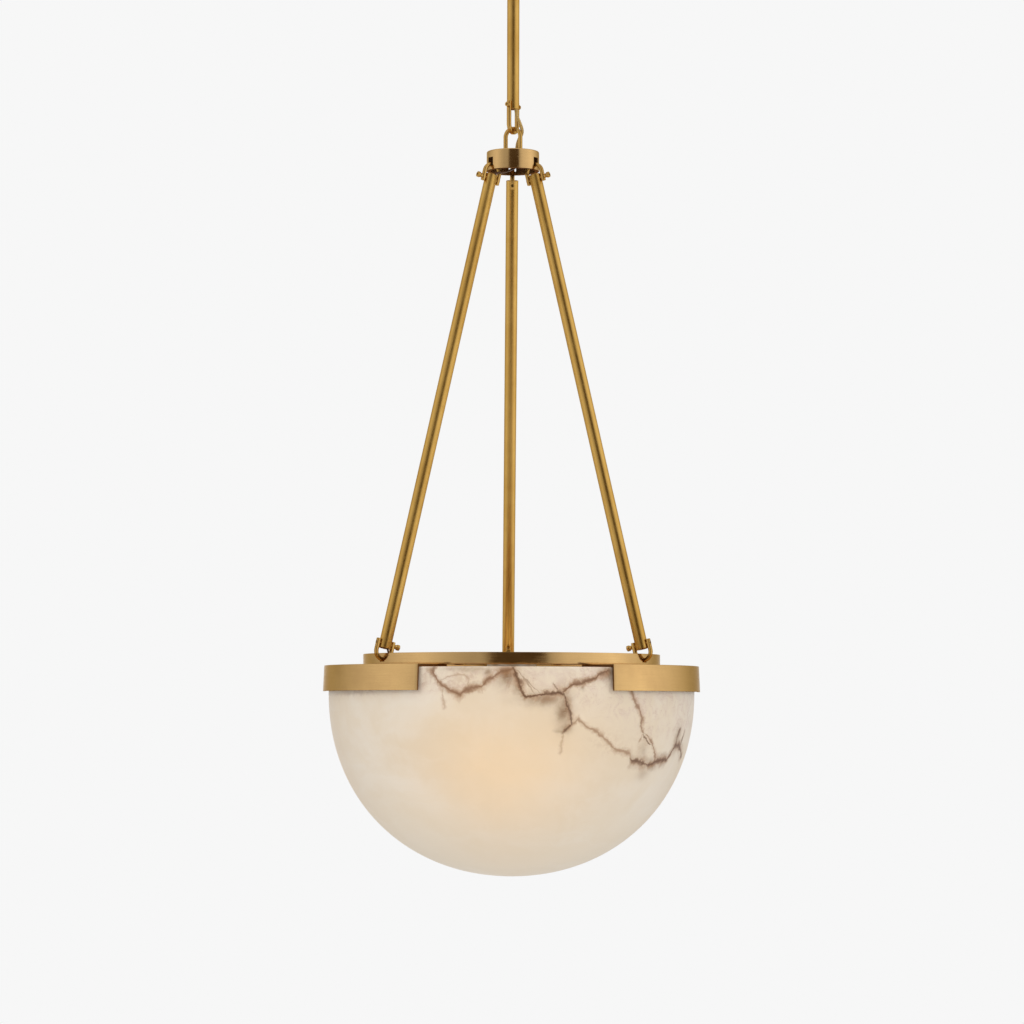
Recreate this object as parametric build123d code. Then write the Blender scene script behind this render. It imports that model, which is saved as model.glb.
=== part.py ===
from build123d import *
import math
import os

# Alabaster bowl pendant, hung from a ceiling box. Millimetres, +Z up, the ceiling is z = 0.
# The front of the lamp faces -Y. Each piece is written to its own STEP file.

# ---------------------------------------------------------------- driving dimensions

# How the two link planes and the three arms are turned about the vertical axis, in degrees.
link_turn = -30.0
left_turn = 210.0
right_turn = 330.0
back_turn = 90.0
arm_turns = {"left": left_turn, "right": right_turn, "back": back_turn}

# How far a cut runs past the face that it opens.
cut_past = 10.0

# Bar that the shackles and loops are bent from.
bar_width = 5.2
bar_thickness = 4.4
bar_round = 1.4
tube_side_clearance = 0.5
link_gap = 0.6
leg_end = 4.8

# Tubes: the stem and the three arms are the same tube.
tube_diameter = 15.0
tube_wall = 1.2
stem_length = 304.8
arm_length = 597.6
thread_fit = 0.05
bolt_fit = 0.08
route_share = 0.45

# Main shackles, at the two ends of the stem.
main_reach = 31.1
main_bolt_inset = 4.5
main_bolt_diameter = 3.0
main_head_diameter = 6.0
main_head_length = 3.2
main_nut_length = 3.6
main_nut_round = 1.2
main_nut_end = 0.5
main_bolt_tip_gap = 0.1

# Arm shackles, at both ends of each arm.
arm_reach = 16.5
arm_bolt_inset = 5.2
arm_bolt_diameter = 4.0
arm_head_diameter = 7.0
arm_head_length = 6.8
arm_link_gap = 0.3
socket_diameter = 2.6
socket_depth = 1.8

# Ceiling set.
box_screw_spacing = 88.9
box_screw_diameter = 5.2
bar_plate_length = 108.0
bar_plate_width = 18.0
bar_plate_thickness = 2.0
ground_screw_diameter = 4.0
ground_screw_offset = 26.0
nipple_diameter = 9.5
nipple_bore = 6.8
nipple_length = 29.0
nut_flats = 14.0
nut_height = 4.0
canopy_diameter = 130.0
canopy_depth = 26.0
canopy_wall = 1.5
canopy_edge_round = 7.0
neck_diameter = 24.0
neck_fit = 0.15
neck_above_canopy = 10.0
neck_below_canopy = 7.0
collar_diameter = 34.0
collar_height = 6.0
collar_chamfer = 1.0
neck_cavity_diameter = 14.6

# Loops: height of the loop's outer top from the face it stands on.
loop_height = 31.0
stud_diameter = 4.0
stud_nut_flats = 7.0
stud_nut_height = 3.2
stud_tip = 0.8

# Hub.
hub_diameter = 64.4
hub_height = 24.3
hub_wall = 5.0
hub_top = 4.0
hub_round = 1.6
hub_bar = 4.3
hub_window_width = 10.6
hub_window_height = 11.0
hub_link_shift = 1.9
hub_cord_hole = 5.8

# Ring that the arms carry.
ring_diameter = 360.6
ring_wall = 4.0
ring_height = 14.0
ring_bar = 5.1
ring_window_width = 10.6
ring_window_height = 5.5
ring_link_shift = 1.8
flange_width = 18.0
flange_thickness = 3.2

# Rim brackets that hold the bowl to the ring.
bracket_pad_gap = 0.3
bracket_flare = 1.4
bracket_wall = 3.2
bracket_plate = 3.2
bracket_height = 31.0
bracket_sweep = 60.0
bracket_screw_turn = 20.0
screw_diameter = 4.0
screw_head_diameter = 7.5
screw_head_height = 2.6
screw_head_round = 1.2
slot_width = 1.0
slot_depth = 1.2
flange_screw_inset = 9.0
spider_screw_inset = 13.4
pad_thickness = 1.8
pad_fit = 0.3
pad_height = 20.0
pad_top_gap = 1.0
pad_sweep = 58.0
pad_hole_clearance = 0.4

# Bowl.
bowl_diameter = 443.6
bowl_wall = 9.0
bowl_floor = 10.0
bowl_height = 250.6
bowl_neck = 30.4
bowl_fullness = 0.58
bowl_rim_gap = 0.3
bowl_rim_round = 1.2
bowl_screw_turn = 18.0
bowl_screw_drop = 15.0
bowl_screw_diameter = 5.0
bowl_screw_head = 9.2
bowl_screw_head_height = 3.0
bowl_hole_clearance = 0.8
boss_diameter = 10.0
boss_gap = 0.4
boss_thread_depth = 1.9
boss_root = 1.0
screw_tip_gap = 0.2
washer_diameter = 14.0
washer_height = 1.5
washer_gap = 0.15

# Lamp spider, cluster and lamps.
spider_arm_width = 18.0
spider_thickness = 3.0
spider_disc_diameter = 68.0
spider_end_inset = 8.0
lead_hole_diameter = 10.4
lead_hole_radius = 23.0
cluster_diameter = 60.0
cluster_height = 34.0
cluster_wall = 2.0
cluster_face_radius = 17.0
cluster_face_drop = 22.0
lamp_tilt = 45.0
lamp_turns = (30.0, 150.0, 270.0)
cluster_nipple_length = 16.0
nipple_above_nut = 1.0
holder_diameter = 40.0
holder_base_diameter = 33.0
holder_base_height = 6.0
holder_length = 42.0
holder_cavity_depth = 30.0
holder_chamfer = 1.5
cap_diameter = 26.0
cap_fit = 0.6
cap_length = 27.0
cap_wall = 0.8
cap_foot = 4.0
cap_foot_chamfer = 3.0
bulb_length = 81.0
bulb_diameter = 60.0
bulb_neck_diameter = 24.0
bulb_neck_length = 16.0
bulb_shoulder = 31.0
glass_wall = 1.2

# Cord: gold jacket down to the hub, thin brown lead from there on.
cord_diameter = 4.2
lead_diameter = 2.6
cord_in_stem = 10.0
cord_in_nipple = 10.0
cord_top = -1.0
jacket_below_hub_top = 7.4
lead_rest = 0.1
lead_in_tube_side = 3.9
lead_in_tube_inward = 1.5
lead_on_spider_side = 6.0
lead_tail = 15.0
lead_above_hub_bottom = 5.4
lead_below_hub_bottom = 3.2
lead_past_hub_across = 15.6
lead_past_hub_side = 6.4
lead_into_arm = 8.4
lead_out_of_arm = 10.2
lead_off_ring = 5.8
lead_off_hole_centre = 2.4

# Points of the cord's way round a shackle: across, along the bolt, and away from the stem's end.
cord_leaves_stem = (3.8, 0.0, 6.0)
cord_swings_out = (6.8, 4.2, 15.5)
cord_beside_shackle = (10.9, 5.7, 28.0)
cord_swings_back = (5.6, 5.3, 36.0)
cord_under_loop = (3.4, 3.2, 46.0)
cord_over_loop_drop = 0.4

# ---------------------------------------------------------------- sizes worked out

tube_radius = tube_diameter / 2
tube_bore = tube_radius - tube_wall
bend_inner = tube_radius + tube_side_clearance
bend_outer = bend_inner + bar_thickness
leg_centre = bend_inner + bar_thickness / 2

canopy_bottom = -canopy_depth
neck_bottom = canopy_bottom - neck_below_canopy
neck_top = canopy_bottom + neck_above_canopy
canopy_loop_bottom = neck_bottom - loop_height
upper_hinge_z = canopy_loop_bottom + bar_thickness / 2
upper_crown_z = canopy_loop_bottom + bar_thickness + link_gap
upper_bolt_z = upper_crown_z - main_reach
stem_top = upper_bolt_z + main_bolt_inset
stem_bottom = stem_top - stem_length
lower_bolt_z = stem_bottom + main_bolt_inset
lower_crown_z = lower_bolt_z - main_reach
hub_loop_top = lower_crown_z + link_gap + bar_thickness
lower_hinge_z = hub_loop_top - bar_thickness / 2
hub_top_z = hub_loop_top - loop_height
hub_bottom_z = hub_top_z - hub_height

hub_radius = hub_diameter / 2
hub_link_radius = hub_radius - hub_wall / 2 - hub_link_shift
hub_link_z = hub_bottom_z + hub_bar + arm_link_gap

ring_radius = ring_diameter / 2
ring_link_radius = ring_radius - ring_wall / 2 + ring_link_shift
bolt_spacing = arm_length - 2 * arm_bolt_inset
link_spacing = bolt_spacing + 2 * arm_reach
arm_spread = ring_link_radius - hub_link_radius
arm_drop = math.sqrt(link_spacing**2 - arm_spread**2)
arm_tilt = math.degrees(math.asin(arm_spread / link_spacing))
ring_link_z = hub_link_z - arm_drop
ring_top_z = ring_link_z + arm_link_gap + ring_bar
ring_bottom_z = ring_top_z - ring_height
flange_top_z = ring_bottom_z + flange_thickness
flange_inner = ring_radius - ring_wall - flange_width

plate_bottom_z = ring_bottom_z - bracket_plate
rim_z = plate_bottom_z - bowl_rim_gap
bowl_bottom_z = rim_z - bowl_height
bowl_radius = bowl_diameter / 2
bowl_screw_z = rim_z - bowl_screw_drop

pad_outer = bowl_radius + pad_fit + pad_thickness
bracket_radius_top = pad_outer + bracket_pad_gap + bracket_wall
bracket_radius_bottom = bracket_radius_top + bracket_flare

spider_top_z = flange_top_z + spider_thickness
cluster_top_z = flange_top_z

cord_radius = cord_diameter / 2
lead_radius = lead_diameter / 2

# ---------------------------------------------------------------- helpers


def turned(shape, turn):
    """The shape turned about the vertical axis."""
    return Rot(0, 0, turn) * shape


def rod(radius, start, end):
    """A round rod between two points."""
    start, end = Vector(*start), Vector(*end)
    return Plane(origin=start, z_dir=end - start) * Cylinder(
        radius, (end - start).length, align=(Align.CENTER, Align.CENTER, Align.MIN)
    )


def disc(radius, low, high):
    """A round disc on the vertical axis, from one level to another."""
    return rod(radius, (0, 0, low), (0, 0, high))


def tube(outer, inner, low, high):
    """A tube on the vertical axis."""
    return disc(outer, low, high) - disc(inner, low, high)


def hexagon(flats, low, high):
    """A hexagonal prism on the vertical axis."""
    face = RegularPolygon(flats / 2, 6, major_radius=False)
    return Pos(0, 0, low) * extrude(face, amount=high - low)


def ring_sector(outer, inner, low, high, sweep):
    """An arc of a ring, centred on +X."""
    profile = Plane.XZ * Pos((outer + inner) / 2, (low + high) / 2) * Rectangle(outer - inner, high - low)
    return turned(revolve(profile, Axis.Z, sweep), -sweep / 2)


def u_strap(leg_length):
    """A bar bent into an upside-down U: the inside of its crown is at z = 0, its legs lie along X."""
    crown = Pos(0, -bend_inner) * Circle(bend_outer) - Pos(0, -bend_inner) * Circle(bend_inner)
    crown -= Pos(0, -bend_inner - bend_outer) * Rectangle(4 * bend_outer, 2 * bend_outer)
    straight = leg_length - bend_inner
    legs = [
        Pos(side * leg_centre, -bend_inner - straight / 2) * Rectangle(bar_thickness, straight)
        for side in (-1, 1)
    ]
    face = crown + legs
    strap = extrude(Plane.XZ * face, amount=bar_width / 2, both=True)
    rims = [e for e in strap.edges() if abs(abs(e.center().Y) - bar_width / 2) < 0.01]
    lengthwise = [e for e in rims if e.center().Z > -leg_length + 0.01]
    return fillet(lengthwise, bar_round)


def shackle(reach, bolt_diameter):
    """A U strap with a bolt hole through the ends of its legs, `reach` below the crown."""
    hole = rod(bolt_diameter / 2 + bolt_fit, (-2 * bend_outer, 0, -reach), (2 * bend_outer, 0, -reach))
    return u_strap(reach + leg_end) - hole


def cross_bolt(shank, head, head_length, start, end):
    """A bolt along X, its head outside `start`, with a hexagon socket in the head."""
    way = math.copysign(1.0, end - start)
    bolt = rod(shank / 2, (start, 0, 0), (end, 0, 0))
    bolt += rod(head / 2, (start, 0, 0), (start - way * head_length, 0, 0))
    face_x = start - way * head_length
    socket = extrude(RegularPolygon(socket_diameter / 2, 6), amount=socket_depth)
    return bolt - Plane(origin=(face_x, 0, 0), z_dir=(way, 0, 0)) * socket


def rounded_route(points):
    """Straight runs joined by tangent arcs, each arc as large as its two runs allow."""
    points = [Vector(*p) for p in points]
    radii = []
    for before, here, after in zip(points, points[1:], points[2:]):
        turn = math.radians((here - before).get_angle(after - here))
        shorter = min((here - before).length, (after - here).length)
        radii.append(route_share * shorter / math.tan(turn / 2))
    print("route radii", [round(r, 1) for r in radii])
    return FilletPolyline(*points, radius=radii)


def cord_along(points, diameter):
    """A round cord swept along its route."""
    path = rounded_route(points)
    section = Plane(origin=path @ 0, z_dir=path % 0) * Circle(diameter / 2)
    cord = sweep(section, path=path)
    expected = math.pi * diameter**2 / 4 * path.length
    print("cord length", round(path.length, 1), "volume ratio", round(cord.volume / expected, 5))
    return cord


def place_on_arm(shape, radius, level, turn):
    """A shape made round an arm's line, moved to one end of the arm."""
    return turned(Pos(radius, 0, level) * Rot(0, -arm_tilt, 0) * shape, turn)


def on_arm(along, side, inward):
    """A point beside an arm's line: `along` from the hub link, in the arm's upright frame."""
    tilt = math.radians(arm_tilt)
    radius = hub_link_radius + along * math.sin(tilt) - inward * math.cos(tilt)
    level = hub_link_z - along * math.cos(tilt) - inward * math.sin(tilt)
    return (radius, side, level)


# ---------------------------------------------------------------- ceiling set


def make_mounting_bar():
    plate = Pos(0, 0, -bar_plate_thickness / 2) * Box(bar_plate_length, bar_plate_width, bar_plate_thickness)
    plate = fillet(plate.edges().filter_by(Axis.Z), bar_plate_width / 2.5)
    for side in (-1, 1):
        x = side * box_screw_spacing / 2
        plate -= rod(box_screw_diameter / 2, (x, 0, -cut_past), (x, 0, cut_past))
    plate -= disc(nipple_diameter / 2 + thread_fit, -cut_past, cut_past)
    x = ground_screw_offset
    plate -= rod(ground_screw_diameter / 2 + thread_fit, (x, 0, -cut_past), (x, 0, cut_past))
    return plate


def make_ground_screw():
    x = ground_screw_offset
    low = -bar_plate_thickness - screw_head_height
    screw = rod(ground_screw_diameter / 2, (x, 0, 0), (x, 0, -bar_plate_thickness))
    screw += rod(screw_head_diameter / 2, (x, 0, -bar_plate_thickness), (x, 0, low))
    slot = Pos(x, 0, low) * Box(2 * screw_head_diameter, slot_width, 2 * slot_depth)
    return screw - slot


def make_canopy():
    outer = canopy_diameter / 2
    face = Pos(outer / 2, -canopy_depth / 2) * Rectangle(outer, canopy_depth)
    corner = face.vertices().sort_by(Axis.X)[-2:].sort_by(Axis.Y)[0]
    face = fillet(corner, canopy_edge_round)
    inner = outer - canopy_wall
    depth = canopy_depth - canopy_wall
    room = Pos(inner / 2, -depth / 2) * Rectangle(inner, depth)
    corner = room.vertices().sort_by(Axis.X)[-2:].sort_by(Axis.Y)[0]
    room = fillet(corner, canopy_edge_round - canopy_wall)
    shell = revolve(Plane.XZ * (face - room), Axis.Z)
    return shell - disc(neck_diameter / 2 + neck_fit, -2 * canopy_depth, canopy_depth)


def make_collar():
    low = canopy_bottom - collar_height
    body = tube(collar_diameter / 2, neck_diameter / 2 + thread_fit, low, canopy_bottom)
    outside = [e for e in body.edges().filter_by(GeomType.CIRCLE) if e.radius > collar_diameter / 2 - 0.01]
    return chamfer(outside, collar_chamfer)


def make_canopy_loop():
    neck = disc(neck_diameter / 2, neck_bottom, neck_top)
    neck -= disc(nipple_diameter / 2 + thread_fit, -nipple_length, neck_top)
    neck -= disc(neck_cavity_diameter / 2, neck_bottom, -nipple_length)
    loop = Rot(180, 0, 0) * u_strap(loop_height - bar_thickness)
    loop = Pos(0, 0, canopy_loop_bottom + bar_thickness) * loop
    return turned(neck + loop, link_turn)


# ---------------------------------------------------------------- main shackles and stem


def make_main_shackle(crown_z, up):
    """Its legs are split along the bolts of the stem; up is True where the crown is on top."""
    strap = Rot(0, 0, 90) * shackle(main_reach, main_bolt_diameter)
    if not up:
        strap = Rot(180, 0, 0) * strap
    return turned(Pos(0, 0, crown_z) * strap, link_turn)


def make_main_bolt(level):
    tip = bend_outer + main_nut_length - main_nut_end - main_bolt_tip_gap
    bolt = cross_bolt(main_bolt_diameter, main_head_diameter, main_head_length, -bend_outer, tip)
    return turned(Pos(0, 0, level) * Rot(0, 0, 90) * bolt, link_turn)


def make_main_nut(level):
    end = bend_outer + main_nut_length
    nut = rod(main_head_diameter / 2, (bend_outer, 0, 0), (end, 0, 0))
    rim = [e for e in nut.edges().filter_by(GeomType.CIRCLE) if e.center().X > end - 0.01]
    nut = fillet(rim, main_nut_round)
    nut -= rod(main_bolt_diameter / 2 + thread_fit, (bend_outer, 0, 0), (end - main_nut_end, 0, 0))
    return turned(Pos(0, 0, level) * Rot(0, 0, 90) * nut, link_turn)


def make_stem():
    stem = tube(tube_radius, tube_bore, stem_bottom, stem_top)
    for level in (upper_bolt_z, lower_bolt_z):
        stem -= rod(main_bolt_diameter / 2 + bolt_fit, (0, -tube_diameter, level), (0, tube_diameter, level))
    return turned(stem, link_turn)


# ---------------------------------------------------------------- hub


def make_hub_loop():
    loop = Pos(0, 0, hub_loop_top - bar_thickness) * u_strap(loop_height - bar_thickness)
    low = hub_top_z - hub_top - stud_nut_height - stud_tip
    for side in (-1, 1):
        x = side * leg_centre
        loop += rod(stud_diameter / 2, (x, 0, hub_top_z), (x, 0, low))
    return turned(loop, link_turn)


def make_hub_loop_nuts():
    high = hub_top_z - hub_top
    nut = hexagon(stud_nut_flats, high - stud_nut_height, high)
    nut -= disc(stud_diameter / 2 + thread_fit, high - 2 * stud_nut_height, high)
    return turned(Compound([Pos(side * leg_centre, 0, 0) * nut for side in (-1, 1)]), link_turn)


def make_hub():
    body = disc(hub_radius, hub_bottom_z, hub_top_z)
    top_edge = body.edges().filter_by(GeomType.CIRCLE).sort_by(Axis.Z)[-1]
    body = fillet(top_edge, hub_round)
    body -= disc(hub_radius - hub_wall, hub_bottom_z, hub_top_z - hub_top)
    window_low = hub_bottom_z + hub_bar
    window = Pos(hub_radius - hub_wall / 2, 0, window_low + hub_window_height / 2) * Box(
        3 * hub_wall, hub_window_width, hub_window_height
    )
    for turn in arm_turns.values():
        body -= turned(window, turn)
    for side in (-1, 1):
        x = side * leg_centre
        stud_hole = rod(stud_diameter / 2 + thread_fit, (x, 0, hub_bottom_z), (x, 0, hub_top_z))
        body -= turned(stud_hole, link_turn)
    entry = hub_cord_entry()
    hole = rod(hub_cord_hole / 2, (entry.X, entry.Y, hub_bottom_z), (entry.X, entry.Y, hub_top_z + cut_past))
    return body - turned(hole, link_turn)


# ---------------------------------------------------------------- arms and their shackles


def make_arm(turn):
    """One arm tube, bored across at both ends for its bolts."""
    top = arm_bolt_inset - arm_reach
    low = top - arm_length
    body = tube(tube_radius, tube_bore, low, top)
    for level in (-arm_reach, -arm_reach - bolt_spacing):
        body -= rod(arm_bolt_diameter / 2 + bolt_fit, (-tube_diameter, 0, level), (tube_diameter, 0, level))
    return place_on_arm(body, hub_link_radius, hub_link_z, turn)


def make_upper_arm_shackle(turn):
    return place_on_arm(shackle(arm_reach, arm_bolt_diameter), hub_link_radius, hub_link_z, turn)


def make_lower_arm_shackle(turn):
    strap = Rot(180, 0, 0) * shackle(arm_reach, arm_bolt_diameter)
    return place_on_arm(strap, ring_link_radius, ring_link_z, turn)


def make_arm_bolts(upper):
    """Three bolts. The heads are outside at the hub and inside at the ring."""
    seat = bend_outer if upper else -bend_outer
    bolt = cross_bolt(arm_bolt_diameter, arm_head_diameter, arm_head_length, seat, -seat)
    level = -arm_reach if upper else -arm_reach - bolt_spacing
    bolt = Pos(0, 0, level) * bolt
    return Compound([place_on_arm(bolt, hub_link_radius, hub_link_z, t) for t in arm_turns.values()])


# ---------------------------------------------------------------- ring, brackets and pads


def flange_screw_radius():
    return flange_inner + flange_screw_inset


def spider_screw_radius():
    return flange_inner + flange_width - spider_screw_inset


def flange_holes():
    """The places, as (radius, turn), of the screws that go down through the ring's flange."""
    places = [(spider_screw_radius(), turn) for turn in arm_turns.values()]
    for turn in arm_turns.values():
        places += [(flange_screw_radius(), turn + side * bracket_screw_turn) for side in (-1, 1)]
    return places


def make_upper_ring():
    body = tube(ring_radius, ring_radius - ring_wall, ring_bottom_z, ring_top_z)
    body += tube(ring_radius - ring_wall, flange_inner, ring_bottom_z, flange_top_z)
    window_high = ring_top_z - ring_bar
    window = Pos(ring_radius - ring_wall / 2, 0, window_high - ring_window_height / 2) * Box(
        2 * ring_wall, ring_window_width, ring_window_height
    )
    for turn in arm_turns.values():
        body -= turned(window, turn)
    for radius, turn in flange_holes():
        hole = rod(screw_diameter / 2 + bolt_fit, (radius, 0, ring_bottom_z), (radius, 0, ring_top_z))
        body -= turned(hole, turn)
    return body


def bracket_inner_radius(level):
    """The inner face of the bracket's flared band at a level."""
    share = (ring_bottom_z - level) / bracket_height
    return bracket_radius_top - bracket_wall + bracket_flare * share


def make_bracket(turn):
    """A flared band outside the rim, with a plate that reaches in under the ring."""
    high = ring_bottom_z
    low = ring_bottom_z - bracket_height
    outline = Polyline(
        (flange_inner, high),
        (bracket_radius_top, high),
        (bracket_radius_bottom, low),
        (bracket_radius_bottom - bracket_wall, low),
        (bracket_inner_radius(plate_bottom_z), plate_bottom_z),
        (flange_inner, plate_bottom_z),
        close=True,
    )
    body = revolve(Plane.XZ * make_face(outline), Axis.Z, bracket_sweep)
    body = turned(body, -bracket_sweep / 2)
    band = bracket_inner_radius(bowl_screw_z)
    for side in (-1, 1):
        start = (bowl_radius + boss_gap, 0, bowl_screw_z)
        boss = rod(boss_diameter / 2, start, (band + boss_root, 0, bowl_screw_z))
        thread_end = (band + boss_thread_depth, 0, bowl_screw_z)
        thread = rod(bowl_screw_diameter / 2 + thread_fit, (bowl_radius, 0, bowl_screw_z), thread_end)
        body += turned(boss, side * bowl_screw_turn)
        body -= turned(thread, side * bowl_screw_turn)
    for radius, hole_turn in ((spider_screw_radius(), 0), (flange_screw_radius(), -bracket_screw_turn),
                              (flange_screw_radius(), bracket_screw_turn)):
        hole = rod(screw_diameter / 2 + thread_fit, (radius, 0, low), (radius, 0, high + cut_past))
        body -= turned(hole, hole_turn)
    return turned(body, turn)


def make_pad(turn):
    high = plate_bottom_z - pad_top_gap
    pad = ring_sector(pad_outer, bowl_radius + pad_fit, high - pad_height, high, pad_sweep)
    hole_radius = boss_diameter / 2 + pad_hole_clearance
    for side in (-1, 1):
        hole = rod(hole_radius, (bowl_radius, 0, bowl_screw_z), (bowl_radius + cut_past, 0, bowl_screw_z))
        pad -= turned(hole, side * bowl_screw_turn)
    return turned(pad, turn)


def make_screw(head_z, tip_z):
    """A round-headed screw standing on its seat, with a slot across its head."""
    screw = disc(screw_diameter / 2, tip_z, head_z)
    head = disc(screw_head_diameter / 2, head_z, head_z + screw_head_height)
    rim = head.edges().filter_by(GeomType.CIRCLE).sort_by(Axis.Z)[-1]
    screw += fillet(rim, screw_head_round)
    slot = Box(2 * screw_head_diameter, slot_width, 2 * slot_depth)
    return screw - Pos(0, 0, head_z + screw_head_height) * slot


def make_bracket_screws():
    screw = Pos(flange_screw_radius(), 0, 0) * make_screw(flange_top_z, plate_bottom_z)
    turns = [turn + side * bracket_screw_turn for turn in arm_turns.values() for side in (-1, 1)]
    return Compound([turned(screw, turn) for turn in turns])


def make_spider_screws():
    screw = Pos(spider_screw_radius(), 0, 0) * make_screw(spider_top_z, plate_bottom_z)
    return Compound([turned(screw, turn) for turn in arm_turns.values()])


# ---------------------------------------------------------------- bowl and its screws


def bowl_curve(radius, depth, level):
    """The side of the bowl from its neck down to the axis, a little fuller than a quarter ellipse."""
    return Bezier(
        (radius, level),
        (radius, level - bowl_fullness * depth),
        (bowl_fullness * radius, level - depth),
        (0, level - depth),
    )


def bowl_screw_turns():
    return [turn + side * bowl_screw_turn for turn in arm_turns.values() for side in (-1, 1)]


def make_bowl():
    neck_z = rim_z - bowl_neck
    depth = bowl_height - bowl_neck
    inner_radius = bowl_radius - bowl_wall
    outline = [
        Line((bowl_radius, rim_z), (bowl_radius, neck_z)),
        bowl_curve(bowl_radius, depth, neck_z),
        Line((0, bowl_bottom_z), (0, bowl_bottom_z + bowl_floor)),
        bowl_curve(inner_radius, depth - bowl_floor, neck_z),
        Line((inner_radius, neck_z), (inner_radius, rim_z)),
        Line((inner_radius, rim_z), (bowl_radius, rim_z)),
    ]
    body = revolve(Plane.XZ * make_face(outline), Axis.Z)
    rim = [e for e in body.edges().filter_by(GeomType.CIRCLE) if abs(e.center().Z - rim_z) < 0.01]
    body = fillet(rim, bowl_rim_round)
    hole_radius = bowl_screw_diameter / 2 + bowl_hole_clearance
    start = (inner_radius - cut_past, 0, bowl_screw_z)
    hole = rod(hole_radius, start, (bowl_radius + cut_past, 0, bowl_screw_z))
    for turn in bowl_screw_turns():
        body -= turned(hole, turn)
    return body


def make_bowl_washers():
    outer = bowl_radius - bowl_wall - washer_gap
    washer = rod(washer_diameter / 2, (outer - washer_height, 0, bowl_screw_z), (outer, 0, bowl_screw_z))
    hole = rod(bowl_screw_diameter / 2 + bolt_fit, (0, 0, bowl_screw_z), (outer + cut_past, 0, bowl_screw_z))
    return Compound([turned(washer - hole, turn) for turn in bowl_screw_turns()])


def make_bowl_screws():
    seat = bowl_radius - bowl_wall - washer_gap - washer_height
    tip = bracket_inner_radius(bowl_screw_z) + boss_thread_depth - screw_tip_gap
    screw = rod(bowl_screw_diameter / 2, (seat, 0, bowl_screw_z), (tip, 0, bowl_screw_z))
    face = seat - bowl_screw_head_height
    head = rod(bowl_screw_head / 2, (seat, 0, bowl_screw_z), (face, 0, bowl_screw_z))
    rim = [e for e in head.edges().filter_by(GeomType.CIRCLE) if e.center().X < face + 0.01]
    screw += fillet(rim, screw_head_round)
    screw -= Pos(face, 0, bowl_screw_z) * Box(2 * slot_depth, 2 * bowl_screw_head, slot_width)
    return Compound([turned(screw, turn) for turn in bowl_screw_turns()])


# ---------------------------------------------------------------- lamps


def make_spider():
    """A flat three-armed bridge that lies on the ring's flange."""
    low = flange_top_z
    reach = ring_radius - ring_wall - spider_end_inset
    body = disc(spider_disc_diameter / 2, low, spider_top_z)
    arm = Pos(reach / 2, 0, low + spider_thickness / 2) * Box(reach, spider_arm_width, spider_thickness)
    for turn in arm_turns.values():
        body += turned(arm, turn)
        start = (spider_screw_radius(), 0, low)
        hole = rod(screw_diameter / 2 + bolt_fit, start, (spider_screw_radius(), 0, spider_top_z))
        body -= turned(hole, turn)
    body -= disc(nipple_diameter / 2 + thread_fit, low, spider_top_z)
    return body - lead_hole(low, spider_top_z)


def lead_hole(low, high):
    """The hole that the lead goes down through, beside the centre."""
    hole = rod(
        lead_hole_diameter / 2,
        (lead_hole_radius, lead_on_spider_side, low),
        (lead_hole_radius, lead_on_spider_side, high),
    )
    return turned(hole, left_turn)


def cluster_block(inset):
    """A round block cut by three sloping faces; `inset` shrinks it all round."""
    low = cluster_top_z - cluster_height
    block = disc(cluster_diameter / 2 - inset, low + inset, cluster_top_z - inset)
    size = 3 * cluster_diameter
    for turn in lamp_turns:
        cutter = Pos(0, 0, -inset + size / 2) * Box(size, size, size)
        block -= place_lamp(cutter, turn)
    return block


def make_cluster_body():
    body = cluster_block(0) - cluster_block(cluster_wall)
    low = cluster_top_z - cluster_wall
    body -= disc(nipple_diameter / 2 + thread_fit, low, cluster_top_z)
    return body - lead_hole(low - cluster_wall, cluster_top_z)


def cluster_nipple_top():
    return spider_top_z + nut_height + nipple_above_nut


def make_cluster_nipple():
    high = cluster_nipple_top()
    return tube(nipple_diameter / 2, nipple_bore / 2, high - cluster_nipple_length, high)


def make_cluster_nuts():
    inside = cluster_top_z - cluster_wall
    nuts = [
        hexagon(nut_flats, spider_top_z, spider_top_z + nut_height),
        hexagon(nut_flats, inside - nut_height, inside),
    ]
    bore = disc(nipple_diameter / 2 + thread_fit, inside - 2 * nut_height, spider_top_z + 2 * nut_height)
    return Compound([nut - bore for nut in nuts])


def place_lamp(shape, turn):
    """A lamp piece made along +Z, moved on to its sloping face of the cluster."""
    seat = Pos(cluster_face_radius, 0, cluster_top_z - cluster_face_drop) * Rot(0, 90 + lamp_tilt, 0)
    return turned(seat * shape, turn)


def make_lampholder(turn):
    body = disc(holder_base_diameter / 2, 0, holder_base_height)
    body += disc(holder_diameter / 2, holder_base_height, holder_length)
    body = chamfer(body.edges().filter_by(GeomType.CIRCLE).sort_by(Axis.Z)[-1], holder_chamfer)
    cavity_bottom = holder_length - holder_cavity_depth
    body -= disc(cap_diameter / 2 + cap_fit, cavity_bottom, holder_length + cut_past)
    return place_lamp(body, turn)


def bulb_outline(inset):
    """Half of the glass envelope from its open neck to its tip, as a closed outline on the axis."""
    neck = bulb_neck_diameter / 2 - inset
    widest = bulb_diameter / 2 - inset
    centre = bulb_length - bulb_diameter / 2
    return [
        Line((0, 0), (neck, 0)),
        Line((neck, 0), (neck, bulb_neck_length)),
        Bezier((neck, bulb_neck_length), (neck, bulb_shoulder), (widest, bulb_shoulder), (widest, centre)),
        RadiusArc((widest, centre), (0, centre + widest), -widest),
        Line((0, centre + widest), (0, 0)),
    ]


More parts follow.
